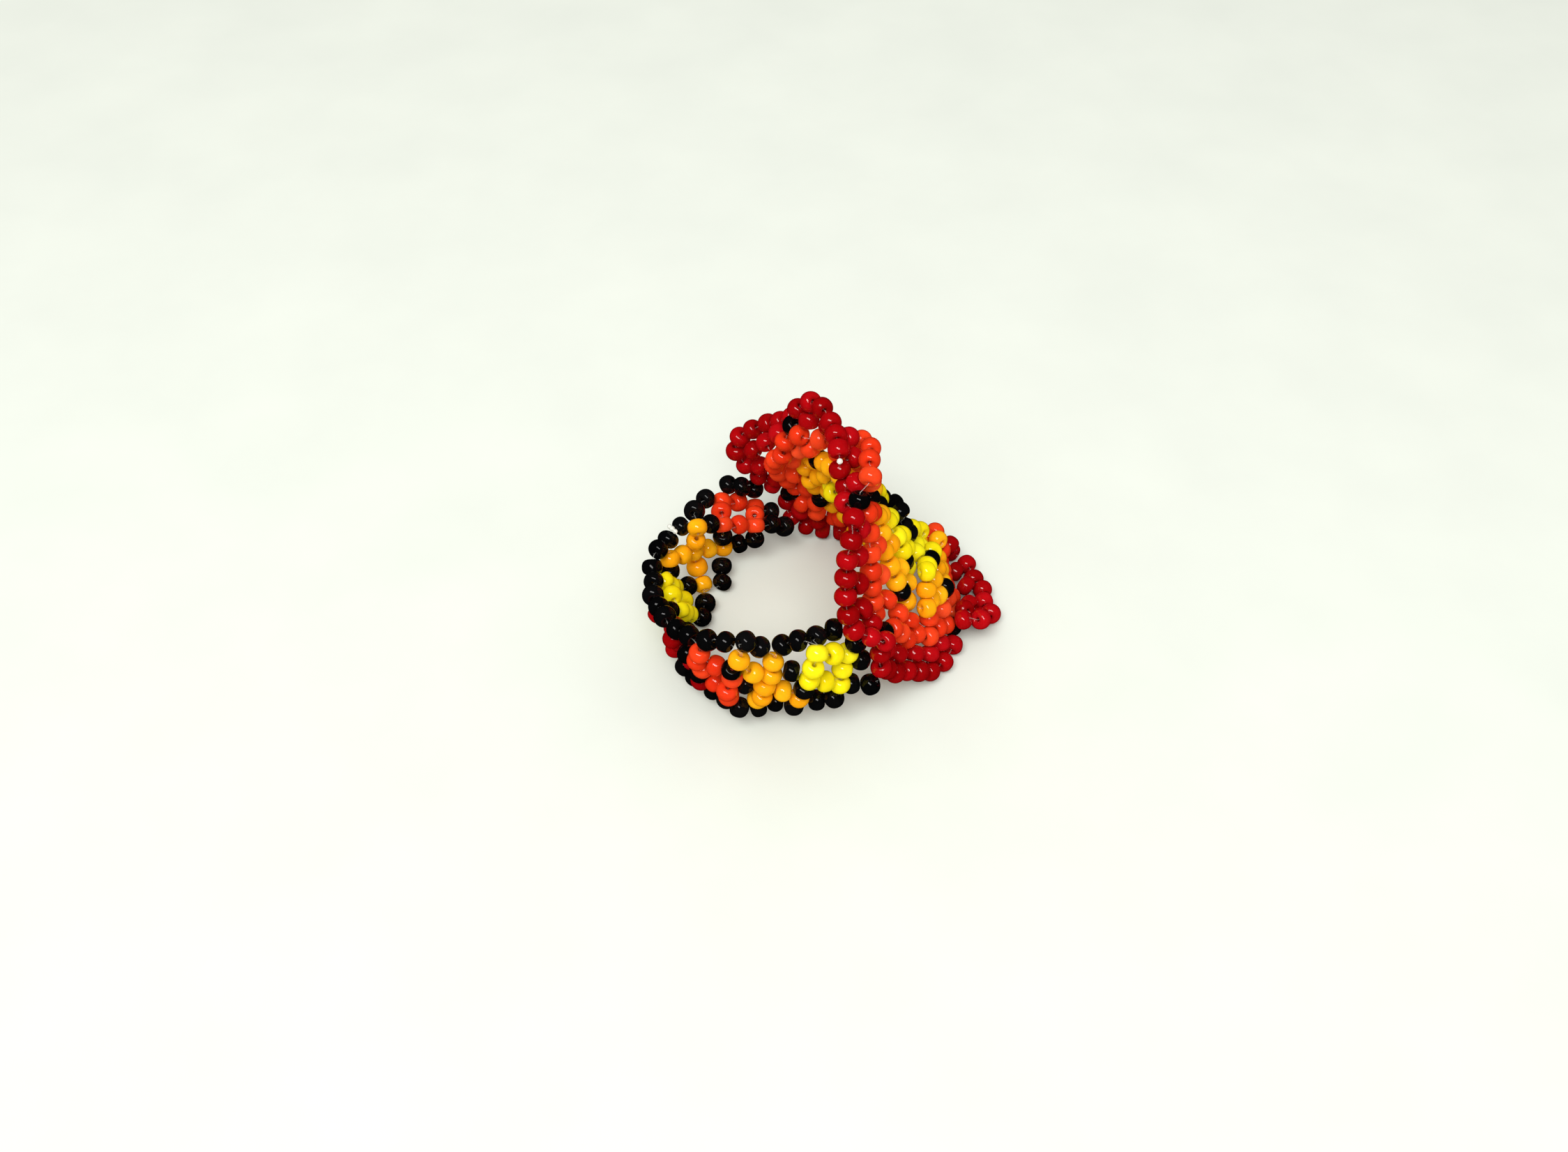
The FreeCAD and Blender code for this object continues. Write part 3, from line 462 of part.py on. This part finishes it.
def run(keys, before=None, after=None, crowd=True):
    """A length of nylon through the holes of the beads named in order.

    before and after name the beads the thread comes from and goes on to; with
    neither, the run ends in a short tail outside its last bead.  Two lengths
    that carry on from each other meet inside the bead they share.
    """
    pts = []
    n = len(keys)
    for i, k in enumerate(keys):
        c, a = vec(BEADS[k])
        prev = keys[i - 1] if i > 0 else before
        nxt = keys[i + 1] if i < n - 1 else after
        cp = vec(BEADS[prev])[0] if prev else None
        cn = vec(BEADS[nxt])[0] if nxt else None
        along = (cn if cn else c) - (cp if cp else c)
        d = a * (1.0 if along.dot(a) >= 0 else -1.0)
        off = FreeCAD.Vector(0, 0, 0)
        if crowd:
            m = FreeCAD.Vector(0, 0, 0)
            if cp:
                m = m + (cp - c)
            if cn:
                m = m + (cn - c)
            m = m - a * m.dot(a)
            if m.Length > 1e-3:
                off = m.normalize() * PASS_OFFSET
        half = BEAD_LEN * BEADS[k][7] / 2 * 0.96
        if i == 0 and before:
            pts.append(c + off + d * JOIN)
        elif i == 0:
            pts.append(c + off - d * (half + TAIL))
        else:
            pts.append(c + off - d * half)
        if i == n - 1 and after:
            pts.append(c + off - d * JOIN)
        elif i == n - 1:
            pts.append(c + off + d * (half + TAIL))
        else:
            pts.append(c + off + d * half)
    # neighbouring mouths that nearly touch share one corner
    i = 1
    while i < len(pts) - 2:
        if (pts[i + 1] - pts[i]).Length < MERGE:
            pts[i:i + 2] = [(pts[i] + pts[i + 1]) * 0.5]
        i += 1
    path = Part.makePolygon(pts)
    ring = Part.Wire([Part.Circle(pts[0], pts[1] - pts[0], THREAD_R).toShape()])
    try:
        solid = path.makePipeShell([ring], True, False, CORNER)
        if not solid.isValid() or (n > 2 and abs(abs(solid.Volume) / (path.Length * math.pi * THREAD_R ** 2) - 1) > 0.10):
            raise Part.OCCError("thread run")
    except Part.OCCError:
        # too winding for one length: carry on with a second one half way
        m = n // 2
        if n < 3:
            return [Part.makeCylinder(THREAD_R, (q - p).Length - 0.04, p + (q - p).normalize() * 0.02, q - p)
                    for p, q in zip(pts[:-1], pts[1:])]
        return (run(keys[:m + 1], before, keys[m + 1], crowd)
                + run(keys[m:], keys[m - 1], after, crowd))
    if solid.Volume < 0:
        solid.reverse()
    return [solid]


def loop(keys, pieces, crowd=True):
    """A closed round of thread, made as lengths that meet inside beads."""
    n = len(keys)
    cuts = [round(n * p / pieces) for p in range(pieces + 1)]
    out = []
    for p in range(pieces):
        part = [keys[i % n] for i in range(cuts[p], cuts[p + 1] + 1)]
        out += run(part, keys[(cuts[p] - 1) % n], keys[(cuts[p + 1] + 1) % n], crowd)
    return out


def stitch(k):
    """The upright stitch through one standing bead of the flower."""
    c, a = vec(BEADS[k])
    half = BEAD_LEN * BEADS[k][7] / 2 + STUB
    return Part.makeCylinder(THREAD_R, 2 * half, c - a * half, a)


def save(name, solids):
    shape = solids[0] if len(solids) == 1 else Part.makeCompound(solids)
    shape.exportStep("parts/%s.step" % name)


os.makedirs("parts", exist_ok=True)

# ---- band ---------------------------------------------------------------
band = [k for k in BEADS if not isinstance(k[0], str)]
for number, (col, name) in enumerate(zip(MOTIFS, MOTIF_NAMES), 1):
    mine = [k for k in band if BEADS[k][8] != "K" and abs(k[0] - col) <= 1.5]
    save("band_%d_%s" % (number, name), beads_of(mine))
save("band_black_links", beads_of([k for k in band if BEADS[k][8] == "K"]))
save("band_upper_edge", beads_of([k for k in BEADS if k[0] == "t"]))
save("band_lower_edge", beads_of([k for k in BEADS if k[0] == "b"]))

threads = []
for k in range(-2, 19, 2):
    left = [(k + 0.5, -0.5), (k + 1, 0), (k + 0.5, 0.5)]
    top = [("t", k, 1), ("t", k, 2)]
    right = [(k + 1.5, 0.5), (k + 1, 0), (k + 1.5, -0.5)]
    low = [("b", k, 2), ("b", k, 1)]
    if k == -2:
        threads += run(top + [(0, 1)] + right + [(0, -1)] + low)
        threads += run(left)
    elif k == 18:
        threads += run(low + [(18, -1)] + left + [(18, 1)] + top)
        threads += run(right)
    else:
        threads += loop([(k, -1)] + left + [(k, 1)] + top + [(k + 2, 1)] + right + [(k + 2, -1)] + low, 2)
save("band_thread", threads)

# ---- flower -------------------------------------------------------------
centre = []
for petal, valley in PETALS:
    centre += [(valley, "R"), (petal, "R")]
save("flower_centre_ring", beads_of(centre))

stitches = []
for number, (petal, valley) in enumerate(PETALS, 1):
    save("valley_%d_black" % number, beads_of([(valley, "Y"), (valley, "O"), (valley, "C")]))
    for row, colour, strung, upright in ROWS:
        lying = [(petal, row, j) for j in range(1, strung + 1)]
        standing = [(petal, "s" + row, j) for j in range(upright)]
        name = "petal_%d_%s_%s" % (number, colour, "edge" if row == "D" else "row")
        save(name, beads_of(lying + standing))
        if row == "D":
            save("petal_%d_edge_thread" % number, run(lying, crowd=False) + [stitch(k) for k in standing])
        else:
            stitches += [stitch(k) for k in standing]

loops = loop(centre, 3, crowd=False)
for row, colour, strung, upright in ROWS[:3]:
    path = []
    for petal, valley in PETALS:
        path += [(valley, row)] + [(petal, row, j) for j in range(1, strung + 1)]
    loops += loop(path, 6, crowd=False)
save("flower_thread", loops + stitches)

# ---- finished knots ------------------------------------------------------
# drops of melted nylon sitting in the groove between two neighbouring beads
# key of the bead on each side, which way the groove faces, lobes (degrees, size)
KNOTS = (
    ("knot_band", ("t", 14, 1), ("t", 14, 2), (-0.30, -0.50, 0.80), ((-22, 0.88), (0, 1.0), (21, 0.94))),
    ("knot_petal", ("P6", "D", 6), ("P6", "D", 7), (0.0, -0.68, 0.73), ((0, 1.0),)),
)
for name, k0, k1, face, lobes in KNOTS:
    c0, a0 = vec(BEADS[k0])
    c1, a1 = vec(BEADS[k1])
    d = (c1 - c0).normalize()
    mid = (c0 + c1) * 0.5
    u = FreeCAD.Vector(*face)
    u = (u - d * u.dot(d)).normalize()
    shape = None
    for turn, size in lobes:
        w = FreeCAD.Rotation(d, turn).multVec(u)
        r = KNOT_R * size
        shoulder = max(BEAD_R * BEADS[k][6] - BEAD_EDGE_R * min(BEADS[k][6], BEADS[k][7]) for k in (k0, k1))
        out = shoulder + math.sqrt((BEAD_EDGE_R + r + 0.03) ** 2 - BEAD_EDGE_R ** 2)
        drop = Part.makeSphere(r, mid + w * out)
        shape = drop if shape is None else shape.fuse(drop)
    save(name, [shape.Solids[0]])
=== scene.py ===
import bpy
import bmesh
import json
import math
import random
import numpy as np
from mathutils import Matrix, Vector


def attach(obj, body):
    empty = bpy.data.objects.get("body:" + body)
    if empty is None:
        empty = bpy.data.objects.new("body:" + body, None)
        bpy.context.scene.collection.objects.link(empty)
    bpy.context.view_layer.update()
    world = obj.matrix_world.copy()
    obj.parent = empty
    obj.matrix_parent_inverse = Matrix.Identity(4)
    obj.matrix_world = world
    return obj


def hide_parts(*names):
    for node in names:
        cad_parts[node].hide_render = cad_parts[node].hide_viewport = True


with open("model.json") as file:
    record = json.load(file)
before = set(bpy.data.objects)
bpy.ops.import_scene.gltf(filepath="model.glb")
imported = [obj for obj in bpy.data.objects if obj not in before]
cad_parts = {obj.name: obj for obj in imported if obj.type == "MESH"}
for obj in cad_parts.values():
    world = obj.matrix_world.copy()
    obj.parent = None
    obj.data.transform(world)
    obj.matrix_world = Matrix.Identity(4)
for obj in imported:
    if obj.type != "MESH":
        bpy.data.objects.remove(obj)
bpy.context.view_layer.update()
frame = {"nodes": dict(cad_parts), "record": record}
record = frame["record"]
body_of = {}
for body, nodes in record["behaviour"]["bodies"].items():
    for node in nodes:
        body_of[node] = body
slot_of = {s["node"]: s["material_slot"] for s in record["subparts"]}
MM = 0.001


# ------------------------------------------------------------------ materials
def new_mat(name):
    m = bpy.data.materials.new(name)
    m.use_nodes = True
    nt = m.node_tree
    for n in list(nt.nodes):
        nt.nodes.remove(n)
    out = nt.nodes.new("ShaderNodeOutputMaterial")
    bsdf = nt.nodes.new("ShaderNodeBsdfPrincipled")
    nt.links.new(bsdf.outputs[0], out.inputs[0])
    return m, nt, bsdf


def glass_bead(name, deep, mid, light, rough=0.07, sss=0.25, spec=0.5, coat=0.3, radius=(1.0, 0.5, 0.3)):
    """Opaque drawn glass: colour a little different in each bead, faint draw
    streaks along the hole, small pits and hand-worn dull patches."""
    m, nt, b = new_mat(name)
    N, Lk = nt.nodes, nt.links
    geo = N.new("ShaderNodeNewGeometry")
    ramp = N.new("ShaderNodeValToRGB")
    ramp.color_ramp.interpolation = "EASE"
    ramp.color_ramp.elements[0].color = (*deep, 1)
    ramp.color_ramp.elements[1].color = (*light, 1)
    e = ramp.color_ramp.elements.new(0.5)
    e.color = (*mid, 1)
    Lk.new(geo.outputs["Random Per Island"], ramp.inputs[0])
    tc = N.new("ShaderNodeTexCoord")
    # cloudy streaks inside the glass
    n1 = N.new("ShaderNodeTexNoise")
    n1.inputs["Scale"].default_value = 900.0
    n1.inputs["Detail"].default_value = 3.0
    n1.inputs["Distortion"].default_value = 0.6
    Lk.new(tc.outputs["Object"], n1.inputs["Vector"])
    mr = N.new("ShaderNodeMapRange")
    mr.inputs["From Min"].default_value = 0.3
    mr.inputs["From Max"].default_value = 0.7
    mr.inputs["To Min"].default_value = 0.9
    mr.inputs["To Max"].default_value = 1.08
    Lk.new(n1.outputs["Fac"], mr.inputs["Value"])
    hsv = N.new("ShaderNodeHueSaturation")
    Lk.new(ramp.outputs[0], hsv.inputs["Color"])
    Lk.new(mr.outputs[0], hsv.inputs["Value"])
    Lk.new(hsv.outputs[0], b.inputs["Base Color"])
    # worn patches
    n2 = N.new("ShaderNodeTexNoise")
    n2.inputs["Scale"].default_value = 2600.0
    n2.inputs["Detail"].default_value = 4.0
    Lk.new(tc.outputs["Object"], n2.inputs["Vector"])
    mr2 = N.new("ShaderNodeMapRange")
    mr2.inputs["From Min"].default_value = 0.35
    mr2.inputs["From Max"].default_value = 0.75
    mr2.inputs["To Min"].default_value = rough * 0.7
    mr2.inputs["To Max"].default_value = rough * 2.2
    Lk.new(n2.outputs["Fac"], mr2.inputs["Value"])
    Lk.new(mr2.outputs[0], b.inputs["Roughness"])
    # low ripples of drawn glass and fine pits
    n3 = N.new("ShaderNodeTexNoise")
    n3.inputs["Scale"].default_value = 700.0
    n3.inputs["Detail"].default_value = 1.5
    Lk.new(tc.outputs["Object"], n3.inputs["Vector"])
    bump = N.new("ShaderNodeBump")
    bump.inputs["Strength"].default_value = 0.35
    bump.inputs["Distance"].default_value = 0.00006
    Lk.new(n3.outputs["Fac"], bump.inputs["Height"])
    n4 = N.new("ShaderNodeTexVoronoi")
    n4.inputs["Scale"].default_value = 3800.0
    Lk.new(tc.outputs["Object"], n4.inputs["Vector"])
    pit = N.new("ShaderNodeMapRange")
    pit.inputs["From Min"].default_value = 0.0
    pit.inputs["From Max"].default_value = 0.16
    Lk.new(n4.outputs["Distance"], pit.inputs["Value"])
    bump2 = N.new("ShaderNodeBump")
    bump2.inputs["Strength"].default_value = 0.12
    bump2.inputs["Distance"].default_value = 0.00001
    Lk.new(pit.outputs[0], bump2.inputs["Height"])
    Lk.new(bump.outputs[0], bump2.inputs["Normal"])
    Lk.new(bump2.outputs[0], b.inputs["Normal"])
    b.inputs["Specular IOR Level"].default_value = spec
    b.inputs["IOR"].default_value = 1.5
    b.inputs["Coat Weight"].default_value = coat
    b.inputs["Coat Roughness"].default_value = 0.04
    b.inputs["Coat IOR"].default_value = 1.5
    if sss > 0:
        b.subsurface_method = "RANDOM_WALK"
        b.inputs["Subsurface Weight"].default_value = sss
        b.inputs["Subsurface Radius"].default_value = radius
        b.inputs["Subsurface Scale"].default_value = 0.00035
    return m


MATS = {
    "bead_yellow": glass_bead("lemon_yellow_glass", (0.83, 0.66, 0.004), (0.90, 0.76, 0.008), (0.93, 0.83, 0.02), sss=0.22, spec=0.45, coat=0.3, radius=(1.0, 0.8, 0.1)),
    "bead_orange": glass_bead("golden_orange_glass", (0.88, 0.33, 0.004), (0.93, 0.41, 0.006), (0.95, 0.50, 0.012), sss=0.22, spec=0.45, coat=0.3, radius=(1.0, 0.5, 0.05)),
    "bead_coral": glass_bead("coral_glass", (0.64, 0.024, 0.005), (0.77, 0.044, 0.009), (0.87, 0.080, 0.020), sss=0.20, spec=0.42, coat=0.3, radius=(1.0, 0.25, 0.1)),
    "bead_red": glass_bead("dark_red_glass", (0.24, 0.0008, 0.0015), (0.34, 0.0015, 0.003), (0.43, 0.003, 0.006), sss=0.12, spec=0.42, coat=0.3, radius=(1.0, 0.1, 0.1)),
    "bead_black": glass_bead("jet_black_glass", (0.0012, 0.0012, 0.0014), (0.002, 0.002, 0.0022), (0.0035, 0.0034, 0.0036), sss=0.0, rough=0.055, spec=0.22, coat=0.12),
}


def nylon(name, alpha, clear):
    m, nt, b = new_mat(name)
    N, Lk = nt.nodes, nt.links
    tc = N.new("ShaderNodeTexCoord")
    n1 = N.new("ShaderNodeTexNoise")
    n1.inputs["Scale"].default_value = 1500.0
    n1.inputs["Detail"].default_value = 2.0
    Lk.new(tc.outputs["Object"], n1.inputs["Vector"])
    mr = N.new("ShaderNodeMapRange")
    mr.inputs["To Min"].default_value = 0.06
    mr.inputs["To Max"].default_value = 0.22
    Lk.new(n1.outputs["Fac"], mr.inputs["Value"])
    Lk.new(mr.outputs[0], b.inputs["Roughness"])
    bump = N.new("ShaderNodeBump")
    bump.inputs["Strength"].default_value = 0.4
    bump.inputs["Distance"].default_value = 0.00005
    Lk.new(n1.outputs["Fac"], bump.inputs["Height"])
    Lk.new(bump.outputs[0], b.inputs["Normal"])
    b.inputs["Base Color"].default_value = (0.93, 0.94, 0.86, 1)
    b.inputs["IOR"].default_value = 1.53
    b.inputs["Transmission Weight"].default_value = clear
    b.inputs["Specular IOR Level"].default_value = 0.5
    b.inputs["Alpha"].default_value = alpha
    return m


NYLON = nylon("clear_nylon", 0.33, 0.7)
KNOT = nylon("melted_nylon", 1.0, 0.35)


# ------------------------------------------------------------------ beads
def islands(obj):
    """The separate closed shells of a node's mesh, as arrays of points."""
    me = obj.data
    n = len(me.vertices)
    co = np.empty(n * 3)
    me.vertices.foreach_get("co", co)
    co = co.reshape(-1, 3)
    # weld by position, so that split normals don't cut a shell apart
    q = np.round(co * 1e7).astype(np.int64)
    _, inv = np.unique(q, axis=0, return_inverse=True)
    inv = inv.reshape(-1)
    ed = np.empty(len(me.edges) * 2, dtype=np.int64)
    me.edges.foreach_get("vertices", ed)
    ed = inv[ed.reshape(-1, 2)]
    parent = np.arange(inv.max() + 1)
    while True:
        a, b = parent[ed[:, 0]], parent[ed[:, 1]]
        lo = np.minimum(a, b)
        new = parent.copy()
        np.minimum.at(new, a, lo)
        np.minimum.at(new, b, lo)
        new = new[new]
        if (new == parent).all():
            break
        parent = new
    lab = parent[inv]
    return [co[lab == k] for k in np.unique(lab)]


def measure(p):
    """Centre, hole direction, outer radius and half length of one bead."""
    p = np.unique(np.round(p, 8), axis=0)
    c = (p.max(0) + p.min(0)) / 2           # a bead is the same both ways round
    w, v = np.linalg.eigh(np.cov((p - c).T))
    # the odd eigenvalue out belongs to the hole
    a = v[:, 0 if (w[1] - w[0]) > (w[2] - w[1]) else 2]
    z = (p - c) @ a
    r = np.linalg.norm((p - c) - np.outer(z, a), axis=1)
    return c, a, np.percentile(r, 99.9), (z.max() - z.min()) / 2, np.percentile(r, 2)


AROUND = 36


def bead_mesh(rng, R, h, bore):
    """A rocaille cut from a drawn tube and tumbled: plump, slightly oval,
    with its two ends a little out of true. Stays inside R and h."""
    Rm, hm = R / MM, h / MM
    b = min(bore / MM, 0.21)        # the hole is narrow inside and flares at its mouths
    plump = rng.uniform(0.86, 1.0)
    prof = []                       # (r, z) from the hole, over the top edge, to the waist
    lip = rng.uniform(0.12, 0.19)
    for t in (0.0, 0.35, 0.7, 1.0):
        prof.append((b + lip * (1 - math.cos(t * math.pi / 2)), hm * (0.55 + 0.36 * math.sin(t * math.pi / 2))))
    rc = b + lip + 0.03
    ex = rng.uniform(2.0, 2.35)
    for i in range(1, 12):
        th = i / 11 * math.pi / 2
        ct, st = math.cos(th), math.sin(th)
        # rounded shoulder as a superellipse from the mouth to the waist
        prof.append((rc + (Rm - rc) * (st ** (2 / ex)), hm * (ct ** (2 / (ex * plump + 0.15))) * 0.985 + 0.0))
    prof = [(b, hm * 0.2)] + prof
    rows = prof + [(r, -z) for r, z in reversed(prof[:-1])]
    ph = np.arange(AROUND) * 2 * math.pi / AROUND
    o1, o2 = rng.uniform(0, 6.283), rng.uniform(0, 6.283)
    oval, tri = rng.uniform(0.0, 0.022), rng.uniform(0.0, 0.010)
    tx, ty, bx, by = (rng.gauss(0, 0.035) for _ in range(4))
    ecc, eo = rng.uniform(0.0, 0.05), rng.uniform(0, 6.283)
    waist = rng.uniform(-0.05, 0.05)
    V = []
    for (r, z) in rows:
        f = min(1.0, max(0.0, (r - b) / (Rm - b)))
        rr = r * (1 - f * (oval * (1 + np.cos(2 * (ph - o1))) / 2 + tri * (1 + np.cos(3 * (ph - o2))) / 2))
        x, y = rr * np.cos(ph), rr * np.sin(ph)
        x = x + (1 - f) * ecc * math.cos(eo)
        y = y + (1 - f) * ecc * math.sin(eo)
        s = z / hm
        tilt = (tx * x + ty * y) * max(0.0, s) + (bx * x + by * y) * max(0.0, -s)
        zz = z - np.sign(s) * 0.0 + tilt * 0.6 + waist * (1 - s * s)
        zz = np.clip(zz, -hm, hm)
        V.append(np.stack([x, y, zz * np.ones_like(x)], 1))
    V = np.concatenate(V) * MM
    m = len(rows)
    F = []
    for i in range(m):
        i2 = (i + 1) % m
        for j in range(AROUND):
            j2 = (j + 1) % AROUND
            F.append((i * AROUND + j, i * AROUND + j2, i2 * AROUND + j2, i2 * AROUND + j))
    return V, F


# slimmer than the same beads in the CAD part, only so the thread clears them at the joint limits
SLIM = {"petal_6_coral_row": (6, 10), "petal_5_red_edge": (5,), "petal_1_red_edge": (11,)}


def build_beads(node, seed):
    obj = frame["nodes"][node]
    rng = random.Random(seed)
    VV, FF, base = [], [], 0
    for k, p in enumerate(islands(obj)):
        c, a, R, h, bore = measure(p)
        if k in SLIM.get(node, ()):
            R, h = R * 0.92, h * 0.95
        V, F = bead_mesh(rng, R, h, bore)
        z = Vector([float(x) for x in a]).normalized()
        q = z.to_track_quat("Z", "Y").to_matrix()
        spin = Matrix.Rotation(rng.uniform(0, 6.283), 3, "Z")
        M = np.array(q @ spin)
        VV.append(V @ M.T + c)
        FF += [tuple(i + base for i in f) for f in F]
        base += len(V)
    me = bpy.data.meshes.new(node + "_glass")
    me.from_pydata(np.concatenate(VV).tolist(), [], FF)
    me.validate()
    me.update()
    bm = bmesh.new()
    bm.from_mesh(me)
    bmesh.ops.recalc_face_normals(bm, faces=bm.faces)
    bm.to_mesh(me)
    bm.free()
    me.polygons.foreach_set("use_smooth", [True] * len(me.polygons))
    me.materials.append(MATS[slot_of[node]])
    o = bpy.data.objects.new(node + "_glass", me)
    bpy.context.scene.collection.objects.link(o)
    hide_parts(node)
    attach(o, body_of[node])
    return o


for n, node in enumerate(sorted(slot_of)):
    if slot_of[node].startswith("bead_"):
        build_beads(node, 100 + n)
    else:
        obj = frame["nodes"][node]
        obj.data.materials.clear()
        obj.data.materials.append(KNOT if node.startswith("knot") else NYLON)


# ------------------------------------------------------------------ stage
ORIGIN_SHIFT = Vector((-0.006196, -0.001075, 0.000136))      # the net's own drawing origin, seen from the part's origin


def paper():
    m, nt, b = new_mat("white_paper")
    N, Lk = nt.nodes, nt.links
    tc = N.new("ShaderNodeTexCoord")
    n1 = N.new("ShaderNodeTexNoise")
    n1.inputs["Scale"].default_value = 60.0
    n1.inputs["Detail"].default_value = 6.0
    Lk.new(tc.outputs["Object"], n1.inputs["Vector"])
    r = N.new("ShaderNodeValToRGB")
    r.color_ramp.elements[0].position = 0.3
    r.color_ramp.elements[0].color = (0.68, 0.71, 0.648, 1)
    r.color_ramp.elements[1].position = 0.7
    r.color_ramp.elements[1].color = (0.71, 0.74, 0.674, 1)
    Lk.new(n1.outputs["Fac"], r.inputs[0])
    Lk.new(r.outputs[0], b.inputs["Base Color"])
    b.inputs["Roughness"].default_value = 0.8
    b.inputs["Specular IOR Level"].default_value = 0.15
    return m


me = bpy.data.meshes.new("floor")
S = 1.2
me.from_pydata([(-S, -S, 0), (S, -S, 0), (S, S, 0), (-S, S, 0)], [], [(0, 1, 2, 3)])
floor = bpy.data.objects.new("floor", me)
floor.location = (0, 0, -0.00002)
me.materials.append(paper())
bpy.context.scene.collection.objects.link(floor)
floor.visible_glossy = False                    # the glass stays deep in colour next to the paper

world = bpy.data.worlds.new("studio")
world.use_nodes = True
bg = world.node_tree.nodes["Background"]
bg.inputs[0].default_value = (1.0, 1.0, 0.98, 1)
bg.inputs[1].default_value = 0.68
bpy.context.scene.world = world
world.cycles_visibility.glossy = False          # the dark room behind the camera: no haze on the glass


def area(name, loc, target, sx, sy, power, color=(1, 1, 1), roll=0.0):
    li = bpy.data.lights.new(name, "AREA")
    li.shape = "RECTANGLE"
    li.size, li.size_y = sx, sy
    li.energy = power
    li.color = color
    o = bpy.data.objects.new(name, li)
    o.location = loc
    d = Vector(target) - Vector(loc)
    o.rotation_euler = (d.to_track_quat("-Z", "Y").to_matrix() @ Matrix.Rotation(roll, 3, "Z")).to_euler()
    bpy.context.scene.collection.objects.link(o)
    return o


area("tube", (-0.05, -0.26, 0.40), (0, 0, 0.01), 0.34, 0.11, 1.1, (1.0, 1.0, 0.98), roll=math.radians(-24))
over = area("overhead", (-0.22, -0.62, 1.15), (0, 0, 0), 0.9, 0.9, 8.8, (1.0, 0.995, 0.98))
over.visible_glossy = False

# ------------------------------------------------------------------ camera
ELEV, DIST = math.radians(47.0), 0.170
T = Vector((0.0019, 0.0048, 0.0045)) + ORIGIN_SHIFT
fwd = Vector((0, math.cos(ELEV), -math.sin(ELEV)))
cam = bpy.data.cameras.new("camera")
co = bpy.data.objects.new("camera", cam)
cam.sensor_fit = "HORIZONTAL"
cam.sensor_width = 36.0
cam.lens = 36.0 * 2244.0 / 2249.0
cam.clip_start = 0.005
cam.clip_end = 10
co.location = T - fwd * DIST
co.rotation_euler = fwd.to_track_quat("-Z", "Y").to_euler()
bpy.context.scene.collection.objects.link(co)
bpy.context.scene.camera = co
vs = bpy.context.scene.view_settings
vs.view_transform = "Standard"
vs.look = "None"
